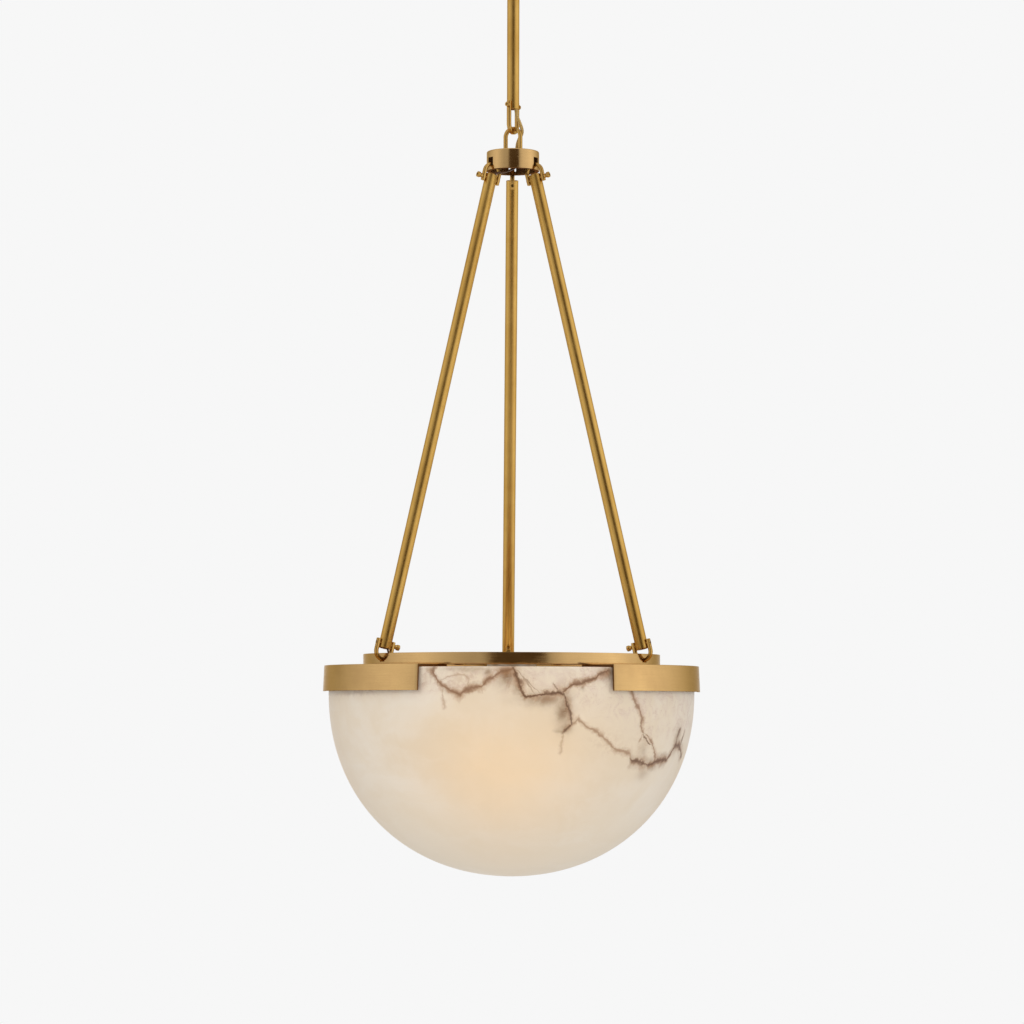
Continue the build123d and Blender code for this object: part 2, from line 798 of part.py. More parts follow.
def make_bulb(turn):
    """The opal glass of one lamp, open at the neck where the cap closes it."""
    glass = revolve(Plane.XZ * make_face(bulb_outline(0)), Axis.Z)
    glass -= revolve(Plane.XZ * make_face(bulb_outline(glass_wall)), Axis.Z)
    bottom = holder_length - holder_cavity_depth + cap_length
    return place_lamp(Pos(0, 0, bottom) * glass, turn)


def make_bulb_caps():
    """The screw caps of the three lamps, each closed at its foot and seated in its holder."""
    low = holder_length - holder_cavity_depth
    cap = disc(cap_diameter / 2, low, low + cap_length)
    foot = cap.edges().filter_by(GeomType.CIRCLE).sort_by(Axis.Z)[0]
    cap = chamfer(foot, cap_foot_chamfer)
    cap -= disc(cap_diameter / 2 - cap_wall, low + cap_foot, low + cap_length - cap_wall)
    cap -= disc(bulb_neck_diameter / 2 - glass_wall, low + cap_length - cap_wall, low + cap_length)
    return Compound([place_lamp(cap, turn) for turn in lamp_turns])


# ---------------------------------------------------------------- cord


def hub_cord_entry():
    """Where the cord goes through the hub's top, in the plane of the links."""
    return Vector(cord_under_loop[0], cord_under_loop[1])


def bend_points(end_level, way, last_points):
    """The cord's route past a shackle, in the plane of the links: out of the stem, round the loop."""
    route = (cord_leaves_stem, cord_swings_out, cord_beside_shackle, cord_swings_back, cord_under_loop)
    across, along, _ = cord_leaves_stem
    points = [(across, along, end_level - way * cord_in_stem)]
    points += [(across, along, end_level + way * away) for across, along, away in route]
    return points + last_points


def make_upper_cord_bend():
    last = [(0, 0, -nipple_length - cord_over_loop_drop), (0, 0, supply_cord_low())]
    return turned(cord_along(bend_points(stem_top, 1, last), cord_diameter), link_turn)


def supply_cord_low():
    """Level inside the nipple where the part of the cord that never bends begins."""
    return -nipple_length + cord_in_nipple


def make_supply_cord():
    return disc(cord_radius, supply_cord_low(), cord_top)


def make_stem_cord():
    low = stem_bottom + cord_in_stem
    high = stem_top - cord_in_stem
    across = cord_leaves_stem[0]
    return turned(rod(cord_radius, (across, 0, low), (across, 0, high)), link_turn)


def jacket_end_z():
    return hub_top_z - jacket_below_hub_top


def make_lower_cord_bend():
    entry = hub_cord_entry()
    last = [(entry.X, entry.Y, jacket_end_z())]
    return turned(cord_along(bend_points(stem_bottom, -1, last), cord_diameter), link_turn)


def make_arm_lead():
    """The thin lead: across the hub, down the left arm, along the spider and into the cluster."""
    entry = hub_cord_entry().rotate(Axis.Z, link_turn - left_turn)
    on_spider_z = spider_top_z + lead_radius + lead_rest
    points = [
        (entry.X, entry.Y, jacket_end_z()),
        (entry.X, entry.Y, hub_bottom_z + lead_above_hub_bottom),
        (lead_past_hub_across, lead_past_hub_side, hub_bottom_z - lead_below_hub_bottom),
        on_arm(lead_into_arm, lead_in_tube_side, lead_in_tube_inward),
        on_arm(link_spacing - lead_out_of_arm, lead_in_tube_side, lead_in_tube_inward),
        (ring_radius - ring_wall - lead_off_ring, lead_on_spider_side, on_spider_z),
        (lead_hole_radius - lead_off_hole_centre, lead_on_spider_side, on_spider_z),
        (lead_hole_radius - lead_off_hole_centre, lead_on_spider_side, on_spider_z - lead_tail),
    ]
    return turned(cord_along(points, lead_diameter), left_turn)


# ---------------------------------------------------------------- build

pieces = {
    "mounting_bar": make_mounting_bar(),
    "ground_screw": make_ground_screw(),
    "canopy_nipple": tube(nipple_diameter / 2, nipple_bore / 2, -nipple_length, 0),
    "nipple_nut": hexagon(nut_flats, -bar_plate_thickness - nut_height, -bar_plate_thickness)
    - disc(nipple_diameter / 2 + thread_fit, -cut_past, 0),
    "canopy": make_canopy(),
    "canopy_collar": make_collar(),
    "canopy_loop": make_canopy_loop(),
    "supply_cord": make_supply_cord(),
    "upper_shackle": make_main_shackle(upper_crown_z, True),
    "upper_shackle_bolt": make_main_bolt(upper_bolt_z),
    "upper_shackle_nut": make_main_nut(upper_bolt_z),
    "upper_cord_bend": make_upper_cord_bend(),
    "stem": make_stem(),
    "stem_cord": make_stem_cord(),
    "lower_shackle": make_main_shackle(lower_crown_z, False),
    "lower_shackle_bolt": make_main_bolt(lower_bolt_z),
    "lower_shackle_nut": make_main_nut(lower_bolt_z),
    "lower_cord_bend": make_lower_cord_bend(),
    "hub_loop": make_hub_loop(),
    "hub_loop_nuts": make_hub_loop_nuts(),
    "hub": make_hub(),
    "upper_arm_bolts": make_arm_bolts(True),
    "lower_arm_bolts": make_arm_bolts(False),
    "upper_ring": make_upper_ring(),
    "bracket_screws": make_bracket_screws(),
    "bowl": make_bowl(),
    "bowl_washers": make_bowl_washers(),
    "bowl_screws": make_bowl_screws(),
    "lamp_spider": make_spider(),
    "spider_screws": make_spider_screws(),
    "cluster_body": make_cluster_body(),
    "cluster_nipple": make_cluster_nipple(),
    "cluster_nuts": make_cluster_nuts(),
    "bulb_caps": make_bulb_caps(),
    "arm_lead": make_arm_lead(),
}
for side, turn in arm_turns.items():
    pieces[f"{side}_arm"] = make_arm(turn)
    pieces[f"{side}_hub_shackle"] = make_upper_arm_shackle(turn)
    pieces[f"{side}_ring_shackle"] = make_lower_arm_shackle(turn)
    pieces[f"{side}_bracket"] = make_bracket(turn)
    pieces[f"{side}_rim_pad"] = make_pad(turn)
for number, turn in enumerate(lamp_turns, start=1):
    pieces[f"lampholder_{number}"] = make_lampholder(turn)
    pieces[f"bulb_{number}"] = make_bulb(turn)

os.makedirs("parts", exist_ok=True)
for name, piece in pieces.items():
    export_step(piece, f"parts/{name}.step")

print("arm tilt", round(arm_tilt, 2), "stem", round(stem_top, 2), round(stem_bottom, 2))
print("hub", round(hub_top_z, 2), "ring", round(ring_top_z, 2))
print("rim", round(rim_z, 2), "bottom", round(bowl_bottom_z, 2))
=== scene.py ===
import math
from functools import reduce

import bmesh
import bpy
from bpy.props import FloatProperty, FloatVectorProperty, PointerProperty
from mathutils import Matrix, Vector
from mathutils.geometry import interpolate_bezier


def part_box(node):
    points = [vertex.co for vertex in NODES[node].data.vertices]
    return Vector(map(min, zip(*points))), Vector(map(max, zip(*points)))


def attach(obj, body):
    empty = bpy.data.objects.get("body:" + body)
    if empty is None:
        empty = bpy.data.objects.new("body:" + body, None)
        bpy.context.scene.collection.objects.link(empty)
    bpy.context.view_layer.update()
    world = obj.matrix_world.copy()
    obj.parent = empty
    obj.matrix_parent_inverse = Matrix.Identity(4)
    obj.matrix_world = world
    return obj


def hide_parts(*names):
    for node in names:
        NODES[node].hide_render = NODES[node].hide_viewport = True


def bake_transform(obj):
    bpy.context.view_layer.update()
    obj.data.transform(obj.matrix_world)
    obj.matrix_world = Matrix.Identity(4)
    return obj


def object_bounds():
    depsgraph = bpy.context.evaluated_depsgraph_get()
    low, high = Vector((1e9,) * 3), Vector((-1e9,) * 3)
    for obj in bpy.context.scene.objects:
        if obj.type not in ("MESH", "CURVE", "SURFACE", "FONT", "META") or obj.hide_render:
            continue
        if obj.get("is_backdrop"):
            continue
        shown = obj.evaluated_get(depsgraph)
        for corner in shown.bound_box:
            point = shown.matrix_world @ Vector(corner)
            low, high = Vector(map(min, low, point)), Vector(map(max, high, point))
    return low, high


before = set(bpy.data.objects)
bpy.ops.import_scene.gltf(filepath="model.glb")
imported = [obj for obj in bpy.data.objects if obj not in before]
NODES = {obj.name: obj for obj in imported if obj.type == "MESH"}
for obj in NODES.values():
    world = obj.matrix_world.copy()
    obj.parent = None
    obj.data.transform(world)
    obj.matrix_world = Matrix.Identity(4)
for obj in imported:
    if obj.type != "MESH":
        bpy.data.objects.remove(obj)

bl_info = {
    "name": "Alabaster bowl pendant",
    "version": (1, 0, 0),
    "blender": (4, 5, 0),
    "location": "3D View > Sidebar > Pendant",
    "description": "Dresses the frame of an alabaster bowl pendant: brass, stone, cord, lamps and studio",
    "category": "Add Mesh",
}

MM = 0.001
CAD_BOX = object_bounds()
SIDES = (("left", 210.0), ("right", 330.0), ("back", 90.0))
LAMP_TURNS = (30.0, 150.0, 270.0)
GLOW_TURNS = (120.0, -120.0, -4.0)  # where those lamps light the stone, in degrees from the front
UP = Vector((0, 0, 1))


def low(node):
    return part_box(node)[0].z


def high(node):
    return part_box(node)[1].z


def reach(node):
    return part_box(node)[1].x


# ------------------------------------------------------------------ sizes and colours


def length(name, description, default):
    return FloatProperty(name=name, description=description, default=default, unit="LENGTH", precision=5)


def angle(name, description, degrees):
    return FloatProperty(name=name, description=description, default=math.radians(degrees), unit="ROTATION")


def colour(name, description, default):
    return FloatVectorProperty(
        name=name, description=description, default=default, subtype="COLOR", size=3, min=0, max=1)


class PendantSizes(bpy.types.PropertyGroup):
    """Sizes of the dressed pieces."""

    bar_width: length("Bar width", "Width of the bar of shackles and loops", 5.2 * MM)
    bar_thickness: length("Bar thickness", "Thickness of that bar, across its bend", 4.4 * MM)
    bar_round: length("Bar rounding", "Radius along the bar's edges", 1.4 * MM)
    bend_inner: length("Bend radius", "Inside radius of the bar's bend", 8.0 * MM)
    leg_end: length("Leg end", "How far a shackle's leg runs past its bolt", 4.8 * MM)
    link_turn: angle("Link turn", "How far the stem's links are turned about the vertical", -30.0)
    main_reach: length("Main shackle reach", "From the crown to the bolt at the stem", 31.1 * MM)
    arm_reach: length("Arm shackle reach", "From the crown to the bolt at an arm", 16.5 * MM)
    tube_radius: length("Tube radius", "Outside radius of stem and arms", 7.5 * MM)
    tube_wall: length("Tube wall", "Wall of stem and arms", 1.2 * MM)
    edge: length("Edge", "Width of the broken edges on brass", 0.35 * MM)
    hub_wall: length("Hub wall", "Wall of the hub", 5.0 * MM)
    hub_top: length("Hub top", "Thickness of the hub's top", 4.0 * MM)
    hub_bar: length("Hub bar", "Height of the bar under the hub's windows", 4.3 * MM)
    window_width: length("Window width", "Width of the windows in hub and ring", 10.6 * MM)
    hub_window: length("Hub window", "Height of the hub's windows", 11.0 * MM)
    hub_hang: length("Hub hang", "From the middle of the hub's wall in to where a shackle hangs", 1.9 * MM)
    ring_hang: length("Ring hang", "From the middle of the ring's wall out to where a shackle holds it", 1.8 * MM)
    link_play: length("Link play", "Room between an arm's shackle and the bar that it holds", 0.3 * MM)
    bolt_inset: length("Bolt inset", "From an arm's end to its bolt", 5.2 * MM)
    ring_wall: length("Ring wall", "Wall of the ring", 4.0 * MM)
    ring_bar: length("Ring bar", "Height of the bar over the ring's windows", 5.1 * MM)
    ring_window: length("Ring window", "Height of the ring's windows", 5.5 * MM)
    flange_width: length("Flange width", "Width of the ring's inner flange", 18.0 * MM)
    flange_thickness: length("Flange thickness", "Thickness of that flange", 3.2 * MM)
    bracket_wall: length("Bracket wall", "Wall of a rim bracket", 3.2 * MM)
    bracket_flare: length("Bracket flare", "How much wider a bracket is at its foot", 1.4 * MM)
    bracket_sweep: angle("Bracket sweep", "Arc that one bracket covers", 60.0)
    bowl_wall: length("Bowl wall", "Thickness of the stone at the side", 9.0 * MM)
    bowl_floor: length("Bowl floor", "Thickness of the stone at the bottom", 10.0 * MM)
    bowl_neck: length("Bowl neck", "Height of the upright band under the rim", 30.4 * MM)
    bowl_fullness: FloatProperty(name="Bowl fullness", description="How full the bowl's side is", default=0.58)
    cord: length("Cord", "Diameter of the gold cord", 4.2 * MM)


class PendantColours(bpy.types.PropertyGroup):
    """Colours of the finishes."""

    brass: colour("Satin brass", "Brushed hub, ring, brackets and canopy", (0.68, 0.435, 0.18))
    brass_warm: colour("Satin brass, worn", "Darker patches of the same brass", (0.47, 0.275, 0.115))
    gold: colour("Tube gold", "Stem and arms", (0.68, 0.415, 0.112))
    gold_deep: colour("Tube gold, deep", "Darker lacquer on the tubes", (0.50, 0.265, 0.05))
    bar: colour("Bar brass", "Bent bars, bolts and nuts", (0.62, 0.375, 0.11))
    bar_deep: colour("Bar brass, deep", "Darker places of the bars", (0.42, 0.225, 0.06))
    stone: colour("Stone cream", "Main colour of the alabaster", (0.725, 0.605, 0.455))
    stone_pale: colour("Stone pale", "Milky clouds in the alabaster", (0.775, 0.69, 0.58))
    stone_deep: colour("Stone beige", "Denser, lower part of the alabaster", (0.745, 0.625, 0.47))
    # Painted glow: a warmer stone colour laid on the front of the bowl, standing in for lamp light shining through the
    # stone.
    stone_warm: colour("Stone warm", "Stone before the lamps", (0.70, 0.545, 0.345))
    vein: colour("Vein", "Umber in the cracks", (0.105, 0.044, 0.020))
    rust: colour("Rust", "Rust round the cracks", (0.40, 0.185, 0.072))
    smoke: colour("Smoke", "Grey shade beside the cracks", (0.225, 0.112, 0.040))
    blush: colour("Blush", "Pinkish crystals under the rim", (0.66, 0.52, 0.43))
    glow: colour("Glow", "Lamp light through the stone", (0.135, 0.052, 0.0))
    jacket: colour("Cord jacket", "Gold braid", (0.50, 0.30, 0.07))
    lead: colour("Lead", "Brown lead", (0.085, 0.040, 0.020))
    # Painted shade: this dark brass goes on undersides, insides and cut ends to stand for the shade there.
    raw: colour("Raw brass", "Unpolished ends and insides", (0.27, 0.145, 0.06))
    steel: colour("Steel", "Zinc plated pieces", (0.62, 0.61, 0.58))
    porcelain: colour("Porcelain", "Lampholders", (0.82, 0.80, 0.75))
    opal: colour("Opal glass", "Lamps", (0.92, 0.88, 0.78))
    pad: colour("Pad", "Soft strip on the rim", (0.16, 0.12, 0.09))
    studio: colour("Studio", "Floor and background", (0.93, 0.93, 0.93))


def sizes():
    return bpy.context.scene.pendant_sizes


def colours():
    return bpy.context.scene.pendant_colours


# ------------------------------------------------------------------ shader building


class Nodes:
    """Adds nodes to one tree."""

    def __init__(self, tree):
        self.tree = tree

    def add(self, kind, inputs=None, **settings):
        node = self.tree.nodes.new(kind)
        for key, value in settings.items():
            setattr(node, key, value)
        for key, value in (inputs or {}).items():
            self.feed(node.inputs[key], value)
        return node

    def feed(self, socket, value):
        if isinstance(value, bpy.types.NodeSocket):
            self.tree.links.new(value, socket)
        elif socket.type == "RGBA":
            socket.default_value = (*value, 1.0) if len(value) == 3 else value
        else:
            socket.default_value = value

    def math(self, operation, *values, clamp=False):
        node = self.add("ShaderNodeMath", operation=operation, use_clamp=clamp)
        for socket, value in zip(node.inputs, values):
            self.feed(socket, value)
        return node.outputs[0]

    def times(self, *values):
        return reduce(lambda first, second: self.math("MULTIPLY", first, second), values)

    def plus(self, *values):
        return reduce(lambda first, second: self.math("ADD", first, second), values)

    def most(self, *values):
        return reduce(lambda first, second: self.math("MAXIMUM", first, second), values)

    def minus(self, first, second):
        return self.math("SUBTRACT", first, second)

    def mix(self, factor, first, second, blend="MIX"):
        node = self.add("ShaderNodeMix", data_type="RGBA", blend_type=blend)
        for index, value in ((0, factor), (6, first), (7, second)):
            self.feed(node.inputs[index], value)
        return node.outputs[2]

    def layers(self, shade, *layers):
        """A colour with others laid over it, each given as (how much, colour)."""
        return reduce(lambda under, layer: self.mix(layer[0], under, layer[1]), layers, shade)

    def ramp(self, value, start, end, to_min=0.0, to_max=1.0, smooth=True):
        node = self.add("ShaderNodeMapRange", interpolation_type="SMOOTHSTEP" if smooth else "LINEAR")
        for socket, item in zip(node.inputs, (value, start, end, to_min, to_max)):
            self.feed(socket, item)
        return node.outputs[0]

    def curve(self, value, start, end, spots, label):
        """Straight lines between spots, read where a value lies from start to end; all of them run from 0 to 1."""
        node = self.add("ShaderNodeFloatCurve", label=label)
        line = node.mapping.curves[0]
        line.points[0].location, line.points[1].location = spots[0], spots[-1]
        for spot in spots[1:-1]:
            line.points.new(*spot)
        for spot in line.points:
            spot.handle_type = "VECTOR"
        node.mapping.update()
        self.feed(node.inputs["Value"], self.ramp(value, start, end, smooth=False))
        return node.outputs[0]

    def noise(self, vector, scale, detail=3.0, roughness=0.5, distortion=0.0, output="Fac"):
        return self.add("ShaderNodeTexNoise", {
            "Vector": vector, "Scale": scale, "Detail": detail, "Roughness": roughness,
            "Distortion": distortion}).outputs[output]

    def scaled(self, vector, scale, location=(0, 0, 0)):
        return self.add("ShaderNodeMapping", {"Vector": vector, "Scale": scale, "Location": location}).outputs[0]

    def vector(self, operation, inputs):
        return self.add("ShaderNodeVectorMath", inputs, operation=operation).outputs[0]

    def split(self, vector):
        return self.add("ShaderNodeSeparateXYZ", {0: vector}).outputs

    def turn(self, place):
        """The turn about Z from the front, in radians."""
        return self.math("ARCTAN2", place[0], self.times(place[1], -1.0))

    def coordinates(self, kind="Object"):
        return self.add("ShaderNodeTexCoord").outputs[kind]

    def bump(self, height, strength, distance=0.4 * MM):
        return self.add("ShaderNodeBump", {"Height": height, "Strength": strength, "Distance": distance}).outputs[0]

    def end(self, shader, output, inputs):
        """The last shader of the tree, joined to its output."""
        last = self.add(shader, inputs)
        self.tree.links.new(last.outputs[0], self.add(output).inputs["Surface"])


def finish(name, build):
    """The material of that name; build(nodes) gives what its surface is fed when it is first asked for."""
    made = bpy.data.materials.get(name)
    if not made:
        made = bpy.data.materials.new(name)
        made.use_nodes = True
        made.node_tree.nodes.clear()
        nodes = Nodes(made.node_tree)
        nodes.end("ShaderNodeBsdfPrincipled", "ShaderNodeOutputMaterial", build(nodes))
    return made


def tone(value):
    """A colour, or the one of the finishes' colours that has that name."""
    return getattr(colours(), value) if isinstance(value, str) else value


def effect_group(name, inputs, outputs, build):
    """A shader node group made once; build(nodes, input sockets, output sockets) fills it."""
    found = bpy.data.node_groups.get(name)
    if found:
        return found
    group = bpy.data.node_groups.new(name, "ShaderNodeTree")
    for key, kind, default in inputs:
        socket = group.interface.new_socket(name=key, in_out="INPUT", socket_type=kind)
        if default is not None:
            socket.default_value = default
    for key, kind in outputs:
        group.interface.new_socket(name=key, in_out="OUTPUT", socket_type=kind)
    nodes = Nodes(group)
    start = nodes.add("NodeGroupInput")
    end = nodes.add("NodeGroupOutput")
    build(nodes, start.outputs, end.inputs)
    return group


def place_group(nodes, group, inputs):
    node = nodes.add("ShaderNodeGroup", node_tree=group)
    for key, value in inputs.items():
        nodes.feed(node.inputs[key], value)
    return node.outputs


FLOAT, VECTOR, COLOUR = "NodeSocketFloat", "NodeSocketVector", "NodeSocketColor"


def brushed_group():
    """Fine brushing and patina for metal: colour, roughness and height."""

    def build(nodes, given, out):
        grain = nodes.noise(given["Grain"], 1.0, 3.0, 0.65)
        broad = nodes.noise(nodes.scaled(given["Grain"], (0.22, 0.22, 0.22)), 1.0, 2.0, 0.5)
        patch = nodes.noise(given["Point"], 14.0, 5.0, 0.62)
        spots = nodes.noise(given["Point"], 70.0, 3.0, 0.6)
        tarnish = nodes.ramp(patch, 0.36, 0.72)
        shade = nodes.mix(nodes.times(tarnish, given["Patina"]), given["Colour"], given["Worn"])
        streak = nodes.ramp(grain, 0.25, 0.75, 0.93, 1.05, False)
        node = nodes.add("ShaderNodeCombineColor", {0: streak, 1: streak, 2: streak})
        nodes.feed(out["Colour"], nodes.mix(1.0, shade, node.outputs[0], "MULTIPLY"))
        rough = nodes.plus(given["Roughness"], nodes.ramp(spots, 0.4, 0.7, -0.03, 0.05))
        rough = nodes.plus(rough, nodes.ramp(broad, 0.3, 0.7, -0.04, 0.04))
        nodes.feed(out["Roughness"], rough)
        height = nodes.plus(nodes.times(grain, 0.7), nodes.times(broad, 0.3))
        nodes.feed(out["Height"], height)

    return effect_group(
        "Brushed metal",
        [("Point", VECTOR, None), ("Grain", VECTOR, None), ("Colour", COLOUR, (0.6, 0.4, 0.2, 1)),
         ("Worn", COLOUR, (0.4, 0.2, 0.1, 1)), ("Patina", FLOAT, 0.5), ("Roughness", FLOAT, 0.3)],
        [("Colour", COLOUR), ("Roughness", FLOAT), ("Height", FLOAT)],
        build,
    )


# Brushed metals: tone, worn tone, patina, roughness, how fine the brushing is along each axis, bump, whether the
# brushing follows the UV map, and the tint seen at a flat angle.
WARM_EDGE = (0.86, 0.70, 0.46)
METALS = {
    "Satin brass": ("brass", "brass_warm", 0.42, 0.15, (22, 22, 2600), 0.10, False, WARM_EDGE),
    # The next row's dark brass paints shade on undersides, insides and cut ends.
    "Raw brass": ("raw", (0.16, 0.085, 0.04), 0.7, 0.48, (90, 90, 90), 0.10, False, (0.42, 0.25, 0.13)),
    "Tube gold": ("gold", "gold_deep", 0.50, 0.36, (46, 3, 1), 0.004, True, WARM_EDGE),
    "Bar brass": ("bar", "bar_deep", 0.6, 0.22, (500, 500, 180), 0.05, False, WARM_EDGE),
    "Zinc steel": ("steel", (0.45, 0.44, 0.40), 0.6, 0.38, (300, 300, 300), 0.08, False, WARM_EDGE),
    "Lamp cap": ((0.72, 0.70, 0.66), (0.5, 0.48, 0.44), 0.4, 0.28, (200, 200, 200), 0.05, False, WARM_EDGE),
}
# Mottled finishes that aren't metal: tone, other tone, scale, roughness, bump, and what else the surface is fed.
MOTTLED = {
    "Porcelain": ("porcelain", (0.76, 0.73, 0.66), 40, 0.22, 0.03, {"Coat Weight": 0.6}),
    "Rim pad": ("pad", (0.10, 0.075, 0.055), 60, 0.8, 0.4, {}),
    "Nylon": ((0.78, 0.74, 0.66), (0.72, 0.68, 0.58), 60, 0.45, 0.05, {}),
    "Brown lead": ("lead", (0.12, 0.06, 0.03), 50, 0.4, 0.05, {}),
}


def metal(name):
    main, worn, patina, roughness, grain, bump, along_uv, edge = METALS[name]

    def build(nodes):
        point = nodes.coordinates()
        effect = place_group(nodes, brushed_group(), {
            "Point": point, "Grain": nodes.scaled(nodes.coordinates("UV") if along_uv else point, grain),
            "Colour": tone(main), "Worn": tone(worn), "Patina": patina, "Roughness": roughness})
        return {
            "Base Color": effect["Colour"], "Roughness": effect["Roughness"], "Metallic": 1.0, "Specular Tint": edge,
            "Normal": nodes.bump(effect["Height"], bump)}

    return finish(name, build)


def mottled(name):
    main, other, scale, roughness, bump, extra = MOTTLED[name]

    def build(nodes):
        point = nodes.coordinates()
        fine = nodes.noise(point, scale * 24, 3.0, 0.6)
        return {
            "Base Color": nodes.mix(nodes.ramp(nodes.noise(point, scale, 5.0, 0.6), 0.3, 0.7), tone(main), tone(other)),
            "Roughness": nodes.ramp(fine, 0.3, 0.7, roughness - 0.05, roughness + 0.05),
            "Normal": nodes.bump(fine, bump, 0.3 * MM), **extra}

    return finish(name, build)


def opal_glass(nodes):
    """Lit opal glass, a little uneven in colour."""
    cloud = nodes.ramp(nodes.noise(nodes.coordinates(), 30.0, 3.0, 0.5), 0.3, 0.7)
    return {
        "Base Color": nodes.mix(cloud, tone("opal"), (0.86, 0.81, 0.70)),
        "Roughness": nodes.ramp(cloud, 0.0, 1.0, 0.22, 0.32, False),
        "Emission Color": nodes.mix(cloud, (1.0, 0.80, 0.52), (1.0, 0.86, 0.62)), "Emission Strength": 1.1}


def gold_braid(nodes):
    """The cord's jacket: two sets of strands that cross along the cord's own length."""
    place = nodes.split(nodes.coordinates("UV"))
    strands = 2 * math.pi * 8.0
    crossing = (nodes.plus(place[0], place[1]), nodes.minus(place[0], place[1]))
    height = nodes.ramp(nodes.most(*(nodes.math("SINE", nodes.times(way, strands)) for way in crossing)), -0.4, 1.0)
    thread = nodes.noise(nodes.scaled(nodes.coordinates("UV"), (60, 60, 1)), 1.0, 2.0)
    return {
        # The colour darkens where the strands dip: painted shade in the grooves between them.
        "Base Color": nodes.layers(
            (0.22, 0.11, 0.02), (height, tone("jacket")), (nodes.ramp(thread, 0.3, 0.8), (0.62, 0.42, 0.14))),
        "Roughness": nodes.ramp(height, 0.0, 1.0, 0.75, 0.5), "Metallic": 0.25, "Sheen Weight": 0.3,
        "Normal": nodes.bump(height, 0.5)}


# ------------------------------------------------------------------ stone

# Cracks on the front of the bowl. Each is (name, runs down, width in mm, umber, rust, shade, lean, points): the points
# are turn from the front in degrees and depth under the rim in mm. A crack that runs down has its turn as a function
# of depth. Umber and rust are how strong its two colours are, shade is the smoky side's width in mm, and lean says
# on which side that smoke lies: below or to the left at -1, and both at 0.
CRACKS = (
    ("Rim left", False, 3.5, 0.55, 0.95, 8.0, 0, (
        (-25.8, 5), (-23.9, 16.1), (-22, 24.4), (-19.2, 29.4), (-16.9, 32.7), (-14.7, 26.9), (-12.5, 24.4),
        (-10.3, 24), (-8.6, 16.1), (-6.4, 11), (-4.5, 6), (-2.1, 3.5), (-0.8, 2.5))),
    ("Rim left start", True, 3.8, 0.6, 0.8, 6.9, 0, ((-25.4, -1), (-25.8, 7), (-24.5, 14))),
    ("Rim left drip", True, 1.3, 0.1, 0.55, 2.3, 0, ((-22.2, 24), (-22.4, 32.7), (-22.1, 49))),
    ("Rim left loop", False, 1.4, 0.1, 0.6, 3.4, 0, (
        (-23.4, 17), (-20.6, 11.8), (-17.9, 9.4), (-15.6, 10.2), (-14.8, 13))),
    ("Loop drop", True, 1.3, 0.1, 0.5, 3.4, 0, ((-15.4, 9), (-14.4, 16), (-14.6, 24))),
    ("Middle drop", True, 3.8, 0.95, 0.9, 17.2, -1, ((-1.4, -1), (-0.1, 10.8), (0.8, 16.2), (1.6, 26.2), (2.4, 34))),
    ("Middle run", False, 3.8, 1.0, 0.8, 14.9, -1, (
        (1.2, 27), (2.3, 33.5), (3.9, 35.3), (5.8, 33.4), (8.2, 31.7), (10.6, 29.8), (12.6, 28.8), (14.2, 33))),
    ("Spike", True, 1.3, 0.6, 0.4, 3.4, 0, ((11.2, 19), (12.0, 24), (12.9, 30))),
    ("Fan long", False, 1.2, 0.35, 0.4, 2.3, 0, ((-0.5, 3), (3.3, 16.8), (7.5, 31.7))),
    ("Fan short", True, 1.2, 0.3, 0.45, 2.3, 0, ((0.2, 3.2), (2.6, 17))),
    ("Fan side", True, 1.2, 0.3, 0.4, 2.3, 0, ((2.0, 11.5), (5.7, 32.5))),
    ("Shoulder drop", True, 3.2, 0.95, 0.5, 17.2, -1, (
        (13.8, 29.5), (15, 39.6), (16, 47), (16.6, 56.1), (17, 65.2), (15.8, 69.6), (14.6, 76.2))),
    ("Shoulder tail", True, 1.3, 0.1, 0.45, 4.6, 0, ((14.7, 75), (14.3, 87.2), (14, 101))),
    ("Long run, first", False, 2.5, 0.3, 0.75, 5.8, 0, (
        (15.4, 70), (16.7, 66.8), (17.8, 64.4), (19.2, 60.6), (22.5, 70.6), (25.9, 75.2), (30.2, 87.1), (32.7, 95.5),
        (36, 97.8), (39.7, 99.5))),
    ("Link", True, 1.6, 0.15, 0.7, 4.6, 0, ((39.6, 98), (40.3, 109))),
    ("Long run, last", False, 3.8, 0.9, 0.7, 11.5, 0, (
        (39.8, 107), (40.9, 109.6), (44.7, 109.7), (49.3, 115), (53.8, 108.9), (60.2, 109.4), (62.7, 96), (64.2, 91.3),
        (67.2, 90.4), (69.6, 96.2), (74.9, 106))),
    ("Right drop", True, 2.6, 0.45, 0.8, 5.8, 0, (
        (37.2, 20), (37.6, 27), (38.8, 38.1), (42.8, 59), (42.4, 69.2), (43.6, 76.9), (45.5, 78.5), (49.3, 89.5),
        (51.7, 102.1), (52.6, 112))),
    ("Right loop", True, 2.5, 0.8, 0.5, 3.4, 0, ((43.6, 77.5), (45.2, 83.2), (47.4, 90), (49.4, 91.5))),
    ("Right fork", True, 1.4, 0.2, 0.7, 3.4, 0, ((43.6, 76), (42.6, 87))),
    ("Right streak", True, 3.2, 0.8, 0.2, 6.9, 0, ((65.5, 70), (64.2, 82), (64.0, 96))),
    ("Right edge streak", True, 2.6, 0.6, 0.3, 5.8, 0, ((70.5, 74), (69.0, 86), (68.4, 97))),
    ("Rim right", False, 2.9, 0.75, 0.95, 5.8, 0, (
        (13.6, 30), (15.5, 25.1), (18, 19.6), (21.1, 17.7), (24.2, 13.1), (26.9, 6.5), (29.4, 3))),
)
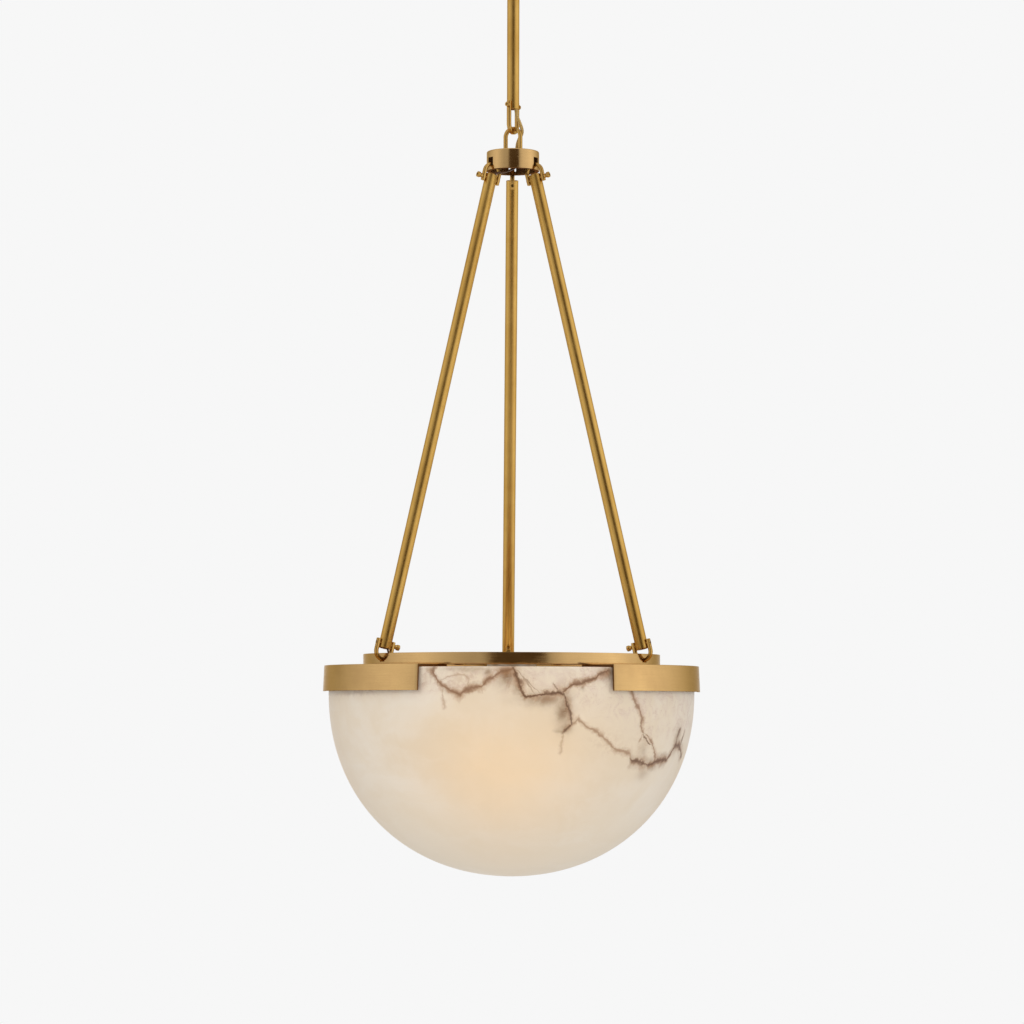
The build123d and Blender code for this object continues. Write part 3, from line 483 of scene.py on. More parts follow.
# Dark places beside them, and one painted shade line under the left bracket: (turn, depth), (half width, half height)
# in mm, how strong.
SMOKE_AND_SHADE = (
    ((8.0, 37.0), (27, 8), 0.85), ((14.6, 48.0), (10, 21), 1.0), ((28.6, 6.5), (11, 9), 1.0),
    ((-2.8, 10.0), (12, 13), 1.0), ((0.4, 22.0), (7, 10), 0.7), ((-8.4, 6.0), (5, 5), 0.8),
    ((-14.0, 3.0), (34, 3.5), 0.5), ((-26.2, 6.0), (4, 6), 0.8), ((51.5, 114.0), (12, 7), 0.95),
    ((64.5, 86.0), (9, 15), 0.7), ((48.5, 124.0), (13, 8), 0.4), ((20.2, 22.5), (3, 4), 0.7),
    # (-60.0, 30.5) is painted shade: a thin dark line at the neck's lower edge, under the left bracket.
    ((-60.0, 30.5), (55, 3), 0.35), ((15.6, 70.0), (7, 7), 0.8), ((45.0, 98.0), (8, 12), 0.35),
)
# Places with a fuzz of rust: as above.
BLUSH = (
    ((-28.4, 11.0), (9, 7), 0.6), ((-14.0, 14.0), (34, 12), 0.5), ((3.5, 20.0), (13, 14), 0.45),
    ((30.0, 88.0), (26, 14), 0.35), ((45.0, 92.0), (20, 24), 0.4), ((20.0, 14.0), (24, 12), 0.35),
    ((-1.5, 16.0), (9, 14), 0.6),
)


def crack_group():
    """Masks of one crack from its distance in metres: umber core, rust and the smoke beside it."""

    def build(nodes, given, out):
        away = nodes.math("ABSOLUTE", given["Distance"])
        uneven = nodes.ramp(nodes.noise(given["Point"], 85.0, 4.0, 0.65), 0.34, 0.66, 0.3, 1.55)
        width = nodes.times(given["Width"], uneven)

        def fall(reach, power):
            value = nodes.math("SUBTRACT", 1.0, nodes.math("DIVIDE", away, reach), clamp=True)
            return nodes.math("POWER", value, power)

        inside = given["Within"]
        core = nodes.times(fall(nodes.times(width, 0.95), 0.8), inside)
        rust = nodes.times(fall(nodes.times(width, 2.4), 1.2), inside)
        side = nodes.ramp(given["Distance"], -0.0012, 0.0008, 1.0, 0.0)
        side = nodes.math("ADD", side, nodes.math("ADD", 1.0, given["Lean"]), clamp=True)
        blotch = nodes.ramp(nodes.noise(given["Point"], 42.0, 4.0, 0.6), 0.32, 0.62, 0.35, 1.0)
        smoke = nodes.times(fall(given["Shade"], 1.15), blotch, side)
        nodes.feed(out["Core"], nodes.times(core, given["Umber"]))
        nodes.feed(out["Stain"], nodes.times(rust, given["Rust"]))
        nodes.feed(out["Smoke"], nodes.times(smoke, inside, given["Umber"]))

    return effect_group(
        "Crack mask",
        [("Distance", FLOAT, 0.0), ("Point", VECTOR, None), ("Width", FLOAT, 0.002), ("Within", FLOAT, 1.0),
         ("Umber", FLOAT, 1.0), ("Rust", FLOAT, 1.0), ("Shade", FLOAT, 0.01), ("Lean", FLOAT, 0.0)],
        [("Core", FLOAT), ("Stain", FLOAT), ("Smoke", FLOAT)],
        build,
    )


def crack_mask(nodes, point, turn, level, radius, crack):
    """One crack drawn with a curve: how far a point lies from it, along or down the bowl."""
    name, down, width, umber, rust, shade, lean, points = crack
    metres = [(math.radians(t) * radius, -depth * MM) for t, depth in points]
    runs = sorted((depth, t) if down else (t, depth) for t, depth in metres)
    start, end = runs[0][0], runs[-1][0]
    least = min(value for _, value in runs) - 0.01
    most = max(value for _, value in runs) + 0.01
    here, there = (level, turn) if down else (turn, level)
    spots = [((place - start) / (end - start), (value - least) / (most - least)) for place, value in runs]
    wanted = nodes.ramp(nodes.curve(here, start, end, spots, name), 0.0, 1.0, least, most, False)
    fade = 2.5 * MM
    within = nodes.times(
        nodes.ramp(here, start - fade, start + fade), nodes.ramp(here, end - fade, end + fade, 1.0, 0.0))
    return place_group(nodes, crack_group(), {
        "Distance": nodes.minus(there, wanted), "Point": point, "Width": width * MM, "Within": within,
        "Umber": umber, "Rust": rust, "Shade": shade * MM, "Lean": float(lean)})


def spot_mask(nodes, turn, level, radius, spot, size):
    """A soft round patch on the bowl, centred at a turn in degrees and a depth in mm."""
    across = nodes.math("DIVIDE", nodes.minus(turn, math.radians(spot[0]) * radius), size[0] * MM)
    down = nodes.math("DIVIDE", nodes.plus(level, spot[1] * MM), size[1] * MM)
    square = nodes.plus(nodes.times(across, across), nodes.times(down, down))
    return nodes.math("EXPONENT", nodes.times(square, -1.0))


def alabaster(nodes):
    """Cream stone with milky clouds, faint level streaks, rust cracks and the lamps' glow."""
    radius = reach("bowl")
    point = nodes.scaled(nodes.coordinates(), (1, 1, 1), (0, 0, -high("bowl")))

    def moved_by(scale, amount, detail):
        wobble = nodes.noise(point, scale, detail, 0.62, output="Color")
        centred = nodes.vector("SUBTRACT", {0: wobble, 1: (0.5, 0.5, 0.5)})
        return nodes.vector("ADD", {0: point, 1: nodes.vector("SCALE", {0: centred, "Scale": amount})})

    def turn_and_level(place):
        parts = nodes.split(place)
        return nodes.times(nodes.turn(parts), radius), parts[2]

    jagged = moved_by(95.0, 0.009, 5.0)
    soft = moved_by(26.0, 0.03, 3.0)
    turn, level = turn_and_level(jagged)
    plain_turn, depth = turn_and_level(point)
    soft_turn, soft_level = turn_and_level(soft)

    cloud = nodes.noise(soft, 6.5, 5.0, 0.55, 0.5)
    cloud_fine = nodes.noise(soft, 19.0, 5.0, 0.62, 0.5)
    streak = nodes.noise(nodes.scaled(soft, (5, 5, 48)), 1.0, 5.0, 0.6, 0.3)
    patchy = nodes.noise(point, 14.0, 3.0, 0.5)
    grain = nodes.noise(point, 52.0, 5.0, 0.68, 1.2)
    # Crystalline stone in the band under the rim, with fine feathers.
    rim = nodes.ramp(nodes.plus(soft_level, nodes.ramp(soft_turn, 0.0, 0.2, 0.0, 0.05)), -0.045, -0.012)
    band = nodes.times(rim, nodes.ramp(patchy, 0.32, 0.55))
    feather = nodes.noise(nodes.scaled(jagged, (34, 34, 150)), 1.0, 4.0, 0.7, 2.4)
    feather = nodes.ramp(nodes.math("ABSOLUTE", nodes.minus(feather, 0.5)), 0.0, 0.022, 1.0, 0.0)
    shade = nodes.layers(
        tone("stone"),
        (nodes.ramp(cloud, 0.36, 0.64), tone("stone_pale")),
        (nodes.ramp(depth, -0.12, -0.235, 0.0, 0.8), tone("stone_deep")),
        (nodes.ramp(cloud_fine, 0.48, 0.78, 0.0, 0.55), tone("stone_pale")),
        (nodes.ramp(streak, 0.46, 0.74, 0.0, 0.38), tone("stone_deep")),
        (nodes.ramp(streak, 0.42, 0.28, 0.0, 0.30), tone("stone_pale")),
        (nodes.times(rim, nodes.ramp(grain, 0.42, 0.66, 0.0, 0.6)), tone("blush")),
        (nodes.times(feather, nodes.ramp(grain, 0.46, 0.60), band, 0.5), tone("rust")))

    # Cracks of the front, then lines that wander round the rest of the bowl, and patches beside the cracks.
    masks = [crack_mask(nodes, jagged, turn, level, radius, crack) for crack in CRACKS]
    line = nodes.noise(nodes.scaled(soft, (4.6, 4.6, 7.2), (3.1, 1.7, 0.4)), 1.0, 4.0, 0.52, 0.6)
    line = nodes.math("ABSOLUTE", nodes.minus(line, 0.5))
    behind = nodes.times(
        nodes.ramp(nodes.math("ABSOLUTE", plain_turn), 0.31, 0.38),
        nodes.ramp(nodes.minus(depth, nodes.times(patchy, 0.10)), -0.17, -0.11), nodes.ramp(cloud_fine, 0.40, 0.58))

    def marks(key, wide, amount, patches=()):
        extra = nodes.times(nodes.ramp(line, 0.0, wide, 1.0, 0.0), behind, amount)
        return nodes.most(*(mask[key] for mask in masks), extra, *patches)

    rough_edge = nodes.ramp(grain, 0.30, 0.62, 0.68, 1.0)
    fuzz = nodes.ramp(nodes.noise(jagged, 130.0, 4.0, 0.7), 0.44, 0.60)
    core = marks("Core", 0.006, 0.85)
    # This mask also carries one painted shade line under the left bracket.
    smoke = marks("Smoke", 0.045, 0.5, [
        nodes.times(spot_mask(nodes, turn, level, radius, spot, size), rough_edge, amount)
        for spot, size, amount in SMOKE_AND_SHADE])
    stain = marks("Stain", 0.014, 0.8, [
        nodes.times(spot_mask(nodes, soft_turn, soft_level, radius, spot, size), fuzz, amount * 0.6)
        for spot, size, amount in BLUSH])
    # Painted glow: the stone's colour turns warmer on the front, where lamp light would shine through.
    painted_glow_patch = spot_mask(nodes, plain_turn, depth, radius, (-3.0, 112.0), (95, 70))
    shade = nodes.layers(
        shade, (nodes.times(painted_glow_patch, 0.75), tone("stone_warm")), (nodes.times(smoke, 0.92), tone("smoke")),
        (nodes.times(stain, 0.78), tone("rust")), (nodes.times(core, 0.95), tone("vein")))

    # Painted glow: emission on the stone that stands in for the lamps' light shining through it; the stone is no lamp
    # itself.
    glow = nodes.times(
        nodes.plus(*(spot_mask(nodes, plain_turn, depth, radius, (aim, 119.0), (118, 78)) for aim in GLOW_TURNS)),
        nodes.ramp(cloud_fine, 0.2, 0.8, 0.84, 1.06), nodes.minus(1.0, nodes.most(core, smoke, stain)))
    fine = nodes.noise(point, 420.0, 3.0, 0.6)
    return {
        "Base Color": shade, "Roughness": nodes.ramp(cloud_fine, 0.3, 0.7, 0.34, 0.46),
        "Emission Color": nodes.mix(glow, (0.0, 0.0, 0.0), tone("glow")), "Emission Strength": 1.0,
        "Normal": nodes.bump(nodes.minus(nodes.times(fine, 0.25), nodes.times(core, 0.5)), 0.10)}


# ------------------------------------------------------------------ mesh building


def add_piece(name, bm, look, nodes, body="fixture", sharp=32.0, raw=None):
    """Closes a bmesh into a named piece that rides on a body, if it is given one, and stands for some nodes.

    Faces that the given face test picks get a dark brass: painted shade on undersides, insides and cut ends.
    """
    bmesh.ops.remove_doubles(bm, verts=bm.verts, dist=1e-6)
    inside = [f for f in bm.faces if all(len(e.link_faces) > 2 for e in f.edges)]
    bmesh.ops.delete(bm, geom=inside, context="FACES_ONLY")
    bmesh.ops.recalc_face_normals(bm, faces=bm.faces)
    for face in bm.faces:
        face.material_index = 1 if raw and raw(face) else 0
    mesh = bpy.data.meshes.new(name)
    bm.to_mesh(mesh)
    bm.free()
    for polygon in mesh.polygons:
        polygon.use_smooth = True
    mesh.set_sharp_from_angle(angle=math.radians(sharp))
    mesh.materials.append(look)
    if raw:
        mesh.materials.append(metal("Raw brass"))
    piece = bpy.data.objects.new(name, mesh)
    bpy.context.scene.collection.objects.link(piece)
    if body:
        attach(piece, body)
    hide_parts(*nodes)
    return piece


def soften(bm, geom, width, segments=5, affect="VERTICES"):
    bmesh.ops.bevel(bm, geom=geom, offset=width, affect=affect, segments=segments, profile=0.5, material=-1)


def weld(bm):
    bmesh.ops.remove_doubles(bm, verts=bm.verts, dist=1e-6)
    bmesh.ops.dissolve_degenerate(bm, edges=bm.edges, dist=1e-7)


def spin(bm, geom, angle, steps, **settings):
    """Spins parts of a bmesh about Z and gives their last copy."""
    settings = {"cent": (0, 0, 0), "axis": (0, 0, 1), **settings}
    return bmesh.ops.spin(bm, geom=geom, angle=angle, steps=steps, **settings)["geom_last"]


def outline(bm, points, rounds=(), face=False):
    """Edges through (radius, level) points in the XZ plane; rounds gives (radius, point numbers) to round off."""
    corners = [bm.verts.new((x, 0, z)) for x, z in points]
    bm.faces.new(corners)
    for radius, numbers in rounds:
        soften(bm, [corners[i] for i in numbers], radius)
    if not face:
        bmesh.ops.delete(bm, geom=bm.faces[:], context="FACES_ONLY")


def open_outline(points, rounds):
    """A new bmesh with an outline that is left open along the axis."""
    bm = bmesh.new()
    outline(bm, points, rounds)
    on_axis = [e for e in bm.edges if all(abs(v.co.x) < 1e-9 for v in e.verts)]
    bmesh.ops.delete(bm, geom=on_axis, context="EDGES")
    return bm


def turned_solid(points, rounds=(), steps=64):
    """A solid of revolution. Points with radius 0 close it on the axis."""
    bm = open_outline(points, rounds)
    spin(bm, bm.verts[:] + bm.edges[:], 2 * math.pi, steps, use_merge=True)
    weld(bm)
    return bm


def move(bm, matrix, verts=None):
    bmesh.ops.transform(bm, matrix=matrix, verts=verts or bm.verts)


def join(bm, other):
    """Adds another bmesh's geometry to this one."""
    mesh = bpy.data.meshes.new("join")
    other.to_mesh(mesh)
    other.free()
    bm.from_mesh(mesh)
    bpy.data.meshes.remove(mesh)


def about_z(degrees):
    return Matrix.Rotation(math.radians(degrees), 4, "Z")


OVER = Matrix.Rotation(math.pi, 4, "X")


def shift(x, y, z):
    return Matrix.Translation((x, y, z))


def extrude(bm, faces, matrix):
    """Extrudes faces, moves what was made, and gives its vertices and faces."""
    made = bmesh.ops.extrude_face_region(bm, geom=faces)["geom"]
    verts = [v for v in made if isinstance(v, bmesh.types.BMVert)]
    move(bm, matrix, verts)
    return verts, [f for f in made if isinstance(f, bmesh.types.BMFace)]


def bent_bar(straight):
    """A bar bent into an upside-down U: the inside of its crown at the origin, its legs along X."""
    size = sizes()
    across = size.bend_inner + size.bar_thickness / 2
    bm = bmesh.new()
    bmesh.ops.create_grid(bm, x_segments=1, y_segments=1, size=0.5)
    bmesh.ops.scale(bm, vec=(size.bar_thickness, size.bar_width, 1), verts=bm.verts)
    soften(bm, bm.verts[:], size.bar_round)
    foot = -size.bend_inner - straight
    bmesh.ops.translate(bm, vec=(-across, 0, foot), verts=bm.verts)
    end = extrude(bm, bm.faces[:], shift(0, 0, straight))[1]
    geom = end + list({e for f in end for e in f.edges}) + list({v for f in end for v in f.verts})
    made = spin(bm, geom, math.pi, 28, cent=(0, 0, -size.bend_inner), axis=(0, 1, 0))
    extrude(bm, [f for f in made if isinstance(f, bmesh.types.BMFace)], shift(0, 0, -straight))
    caps = {e for f in bm.faces if len(f.verts) > 4 for e in f.edges}
    soften(bm, list(caps), size.edge, 2, "EDGES")
    return bm


def bolt_solid(head, head_length, shank, shank_length, spool):
    """A bolt along +Z with its seat at z = 0 and its head below it; spool narrows the head's neck."""
    socket, deep, edge = 1.3 * MM, 1.6 * MM, 0.6 * MM
    neck = head * (0.74 if spool else 1.0)
    points = [
        (0, -head_length + deep), (socket, -head_length + deep), (socket, -head_length), (head, -head_length),
        (head, -head_length * 0.55), (neck, -head_length * 0.40), (neck, 0), (shank, 0), (shank, shank_length),
        (0, shank_length),
    ]
    bm = turned_solid(points, [(edge, [3]), (edge * 0.7, [4])], steps=30)
    for vert in bm.verts:
        flat = Vector((vert.co.x, vert.co.y))
        if abs(flat.length - socket) < 1e-5:
            turn = (math.atan2(flat.y, flat.x) + math.radians(30)) % math.radians(60) - math.radians(30)
            flat *= math.cos(math.radians(30)) / math.cos(turn)
            vert.co.x, vert.co.y = flat
    return bm


def along_x(way=1):
    """Turns +Z to +X or -X."""
    return Matrix.Rotation(math.radians(90 * way), 4, "Y")


def tube_solid(bottom, top, outer, wall):
    """A tube with broken edges and a UV map: once round it, and metres along it."""
    edge = sizes().edge
    inner = outer - wall
    bm = turned_solid(
        [(inner, bottom), (outer, bottom), (outer, top), (inner, top)], [(edge, [0, 1, 2, 3])], steps=56)
    layer = bm.loops.layers.uv.new("UVMap")
    for face in bm.faces:
        middle = face.calc_center_median()
        base = math.atan2(middle.y, middle.x)
        for loop in face.loops:
            turn = math.atan2(loop.vert.co.y, loop.vert.co.x)
            turn = base + (turn - base + math.pi) % (2 * math.pi) - math.pi
            loop[layer].uv = (turn / (2 * math.pi), loop.vert.co.z)
    return bm


def windowed_band(points, rounds, window, rows, steps):
    """A band spun with three openings left through its wall, between two levels, at the arms."""
    bm = open_outline(points, rounds)
    wall = max(p[0] for p in points)
    half = math.asin(window / 2 / wall)
    start = math.radians(90) - half
    move(bm, Matrix.Rotation(start, 4, "Z"))
    geom = bm.verts[:] + bm.edges[:]
    for _ in range(3):
        for sweep, count in ((2 * half, 2), (math.radians(120) - 2 * half, steps)):
            geom = spin(bm, geom, sweep, count)
    weld(bm)
    for part in range(3):
        centre = math.radians(90 + 120 * part)
        gone = []
        for face in bm.faces:
            middle = face.calc_center_median()
            off = (math.atan2(middle.y, middle.x) - centre + math.pi) % (2 * math.pi) - math.pi
            upright = abs(face.normal.z) < 0.3
            if upright and abs(off) < half and rows[0] < middle.z < rows[1] and middle.xy.length > 0.5 * wall:
                gone.append(face)
        bmesh.ops.delete(bm, geom=gone, context="FACES_ONLY")
        rims = [e for e in bm.edges if len(e.link_faces) == 1]
        bmesh.ops.bridge_loops(bm, edges=rims)
        loose = [e for e in bm.edges if not e.link_faces]
        bmesh.ops.delete(bm, geom=loose, context="EDGES")
    return bm


def arm_links():
    """Radius and level of an arm's two links: in the hub, and at the ring."""
    size = sizes()
    hub = (reach("hub") - size.hub_wall / 2 - size.hub_hang, low("hub") + size.hub_bar + size.link_play)
    ring = (
        reach("upper_ring") - size.ring_wall / 2 + size.ring_hang, high("upper_ring") - size.ring_bar - size.link_play)
    return hub, ring


def arm_frame(turn, at_ring=False):
    """Places what is made round an arm's own line at the hub end or the ring end."""
    hub, ring = arm_links()
    radius, level = ring if at_ring else hub
    tilt = math.atan2(ring[0] - hub[0], hub[1] - ring[1])
    return about_z(turn) @ shift(radius, 0, level) @ Matrix.Rotation(-tilt, 4, "Y")


# ------------------------------------------------------------------ cord


def cord_line(points):
    """The smooth line that a cord takes between its route's points, as positions."""
    curve = bpy.data.curves.new("route", "CURVE")
    curve.dimensions = "3D"
    curve.resolution_u = 16
    spline = curve.splines.new("NURBS")
    spline.points.add(len(points) - 1)
    for spot, place in zip(spline.points, points):
        spot.co = (*place, 1.0)
    spline.order_u = 3
    spline.use_endpoint_u = True
    holder = bpy.data.objects.new("route", curve)
    bpy.context.scene.collection.objects.link(holder)
    bpy.context.view_layer.update()
    mesh = bpy.data.meshes.new_from_object(holder)
    line = [v.co.copy() for v in mesh.vertices]
    bpy.data.meshes.remove(mesh)
    bpy.data.objects.remove(holder)
    bpy.data.curves.remove(curve)
    return line


def swept_cord(line, radius):
    """A round tube along a line, with a UV map that follows it in turns and in cord diameters."""
    bm = bmesh.new()
    layer = bm.loops.layers.uv.new("UVMap")
    ring = bmesh.ops.create_circle(bm, cap_ends=True, segments=20, radius=radius)["verts"]
    move(bm, Matrix.Translation(line[0]) @ UP.rotation_difference(line[1] - line[0]).to_matrix().to_4x4())
    heading = (line[1] - line[0]).normalized()
    faces = bm.faces[:]
    run = 0.0
    for here, there, after in zip(line, line[1:], line[2:] + [2 * line[-1] - line[-2]]):
        ahead = ((there - here).normalized() + (after - there).normalized()).normalized()
        swing = heading.rotation_difference(ahead).to_matrix().to_4x4()
        verts, faces = extrude(bm, faces, Matrix.Translation(there) @ swing @ Matrix.Translation(-here))
        sides = {f for v in verts for f in v.link_faces if len(f.verts) == 4}
        step = (there - here).length
        for face in sides:
            if face.tag:
                continue
            face.tag = True
            for loop in face.loops:
                far = loop.vert in verts
                loop[layer].uv = (0.0, (run + (step if far else 0.0)) / (2 * math.pi * radius))
        heading = ahead
        run += step
    turn_of = {vert: index / len(ring) for index, vert in enumerate(ring)}
    grow = list(ring)
    seen = set(grow)
    while grow:
        vert = grow.pop()
        for edge in vert.link_edges:
            other = edge.other_vert(vert)
            shared = [f for f in edge.link_faces if len(f.verts) == 4]
            levels = {round(l[layer].uv.y, 6) for f in shared for l in f.loops if l.vert in (vert, other)}
            if other not in seen and len(levels) > 1:
                turn_of[other] = turn_of[vert]
                seen.add(other)
                grow.append(other)
    for face in bm.faces:
        if len(face.verts) != 4:
            continue
        values = [turn_of.get(l.vert, 0.0) for l in face.loops]
        wrap = max(values) - min(values) > 0.5
        for loop, value in zip(face.loops, values):
            loop[layer].uv.x = value + (1.0 if wrap and value < 0.5 else 0.0)
    return bm


def about_links():
    """The turn of the stem's links about the vertical."""
    return Matrix.Rotation(sizes().link_turn, 4, "Z")


def link_point(across, along, level):
    """A point given in the plane of the stem's links."""
    return about_links() @ Vector((across * MM, along * MM, level))


# The cord's bend beside a shackle: across, along and away from the stem's end, in mm.
BEND = ((3.8, 0.0, -10.0), (3.8, 0.0, 6.0), (6.8, 4.2, 15.5), (10.9, 5.7, 28.0), (5.6, 5.3, 36.0), (3.4, 3.2, 46.0))


def bend_line(end, way, last):
    route = [link_point(across, along, end + way * away * MM) for across, along, away in BEND]
    return cord_line(route + [link_point(across, along, level) for across, along, level in last])


# ------------------------------------------------------------------ operators


class PENDANT_OT_canopy(bpy.types.Operator):
    """Canopy dish, its knurled collar, and the loop with its neck"""

    bl_idname = "pendant.canopy"
    bl_label = "Canopy"

    def execute(self, context):
        brass = metal("Satin brass")
        wide, deep = reach("canopy"), low("canopy")
        wall, hole, bend = 1.5 * MM, 12.15 * MM, 7.0 * MM
        dish = turned_solid(
            [(hole, deep), (wide, deep), (wide, 0), (wide - wall, 0), (wide - wall, deep + wall), (hole, deep + wall)],
            [(bend, [1]), (bend - wall, [4]), (0.3 * MM, [0, 2, 3])], steps=128)
        add_piece("canopy_dish", dish, brass, ["canopy"], "ceiling_set")

        top, bottom = high("canopy_collar"), low("canopy_collar")
        collar = turned_solid(
            [(12.05 * MM, bottom), (reach("canopy_collar"), bottom), (reach("canopy_collar"), top), (12.05 * MM, top)],
            [(1.0 * MM, [1, 2]), (0.2 * MM, [0, 3])], steps=96)
        add_piece("collar", collar, metal("Bar brass"), ["canopy_collar"], "ceiling_set")

        size = sizes()
        crown = low("canopy_loop") + size.bar_thickness
        neck_low, neck_high = -33.0 * MM, high("canopy_loop")
        straight = neck_low - crown - size.bend_inner
        loop = bent_bar(straight + 1.0 * MM)
        move(loop, shift(0, 0, crown) @ OVER)
        neck = turned_solid(
            [(7.3 * MM, neck_low), (12 * MM, neck_low), (12 * MM, neck_high), (7.3 * MM, neck_high)],
            [(0.8 * MM, [1]), (0.4 * MM, [2])], steps=64)
        join(loop, neck)
        move(loop, about_links())
        add_piece("hanging_loop", loop, brass, ["canopy_loop"], "ceiling_set")
        return {"FINISHED"}


class PENDANT_OT_stem(bpy.types.Operator):
    """Stem tube between the two main shackles"""

    bl_idname = "pendant.stem"
    bl_label = "Stem"

    def execute(self, context):
        size = sizes()
        bm = tube_solid(low("stem"), high("stem"), size.tube_radius, size.tube_wall)
        add_piece("stem_tube", bm, metal("Tube gold"), ["stem"], "stem")
        return {"FINISHED"}


class PENDANT_OT_main_shackles(bpy.types.Operator):
    """Bent-bar shackles at both ends of the stem, each with its bolt and blind nut"""

    bl_idname = "pendant.main_shackles"
    bl_label = "Main shackles"

    def execute(self, context):
        size = sizes()
        brass = metal("Bar brass")
        turn = about_links() @ about_z(90)
        outer = size.bend_inner + size.bar_thickness
        straight = size.main_reach + size.leg_end - size.bend_inner
        for name, body, way in (("upper", "upper_link", 1), ("lower", "lower_link", -1)):
            node = name + "_shackle"
            crown = high(node) - size.bar_thickness if way > 0 else low(node) + size.bar_thickness
            bar = bent_bar(straight)
            if way < 0:
                move(bar, OVER)
            move(bar, turn @ shift(0, 0, crown))
            add_piece(name + "_bar", bar, brass, [node], body)
            level = crown - way * size.main_reach
            place = turn @ shift(0, 0, level)
            bolt = bolt_solid(3.0 * MM, 3.2 * MM, 1.5 * MM, 2 * outer, False)
            move(bolt, place @ shift(-outer, 0, 0) @ along_x())
            add_piece(name + "_bolt", bolt, brass, [node + "_bolt"], body)
            nut = turned_solid(
                [(0, 0), (3.0 * MM, 0), (3.0 * MM, 3.6 * MM), (0, 3.6 * MM)], [(1.3 * MM, [2])], steps=32)
            move(nut, place @ shift(outer, 0, 0) @ along_x())
            add_piece(name + "_nut", nut, brass, [node + "_nut"], body)
        return {"FINISHED"}


class PENDANT_OT_hub(bpy.types.Operator):
    """Hub drum with three windows, and the loop that stands on it"""

    bl_idname = "pendant.hub"
    bl_label = "Hub"

    def execute(self, context):
        size = sizes()
        brass = metal("Satin brass")
        top, bottom, outer = high("hub"), low("hub"), reach("hub")
        inner, under = outer - size.hub_wall, high("hub") - size.hub_top
        sill = bottom + size.hub_bar
        lintel = sill + size.hub_window
        points = [
            (0, top), (outer, top), (outer, lintel), (outer, sill), (outer, bottom), (inner, bottom), (inner, sill),
            (inner, lintel), (inner, under), (0, under)]
        drum = windowed_band(points, [(1.6 * MM, [1]), (0.4 * MM, [4, 5])], size.window_width, (sill, lintel), 40)

        # Painted shade: undersides and the inside of the drum get the dark brass.
        def in_painted_shade(face):
            place = face.calc_center_median()
            return face.normal.z < -0.4 or (place.xy.length < outer - 0.6 * MM and place.z < top - 1 * MM)

        add_piece("hub_drum", drum, brass, ["hub"], raw=in_painted_shade)

        crown = high("hub_loop") - size.bar_thickness
        loop = bent_bar(crown - size.bend_inner - top + 0.3 * MM)
        move(loop, shift(0, 0, crown))
        across = size.bend_inner + size.bar_thickness / 2
        for side in (-1, 1):
            stud = turned_solid(
                [(0, low("hub_loop")), (2 * MM, low("hub_loop")), (2 * MM, top + 1 * MM), (0, top + 1 * MM)],
                [(0.3 * MM, [1])], steps=24)
            move(stud, shift(side * across, 0, 0))
            join(loop, stud)
        move(loop, about_links())
        add_piece("hub_loop_bar", loop, metal("Bar brass"), ["hub_loop"])
        return {"FINISHED"}


class PENDANT_OT_arms(bpy.types.Operator):
    """Three arm tubes with a shackle and a bolt at each end"""

    bl_idname = "pendant.arms"
    bl_label = "Arms"

    def execute(self, context):
        size = sizes()
        gold, brass = metal("Tube gold"), metal("Bar brass")
        outer = size.bend_inner + size.bar_thickness
        straight = size.arm_reach + size.leg_end - size.bend_inner
        hub, ring = arm_links()
        span = math.hypot(ring[0] - hub[0], ring[1] - hub[1])
        top = size.bolt_inset - size.arm_reach
        bolts = {True: bmesh.new(), False: bmesh.new()}
        for side, turn in SIDES:
            arm = tube_solid(-span - top, top, size.tube_radius, size.tube_wall)
            move(arm, arm_frame(turn))
            add_piece(side + "_tube", arm, gold, [side + "_arm"], "fixture")
            for upper in (True, False):
                bar = bent_bar(straight)
                if not upper:
                    move(bar, OVER)
                move(bar, arm_frame(turn, not upper))
                end = "hub" if upper else "ring"
                add_piece(f"{side}_{end}_bar", bar, brass, [f"{side}_{end}_shackle"])
                bolt = bolt_solid(3.5 * MM, 6.8 * MM, 2.0 * MM, 2 * outer, True)
                way = -1 if upper else 1
                level = -size.arm_reach if upper else size.arm_reach
                place = arm_frame(turn, not upper) @ shift(-way * outer, 0, level)
                move(bolt, place @ along_x(way))
                join(bolts[upper], bolt)
        for upper, name in ((True, "upper"), (False, "lower")):
            add_piece(name + "_bolts", bolts[upper], brass, [name + "_arm_bolts"], "fixture")
        return {"FINISHED"}


# The bosses that take the bowl's screws: turns in a bracket, radius where they start, and depth under the rim.
BOSS_TURNS, BOSS_START, BOSS_DROP = (-18, 18), 222.2 * MM, 15 * MM


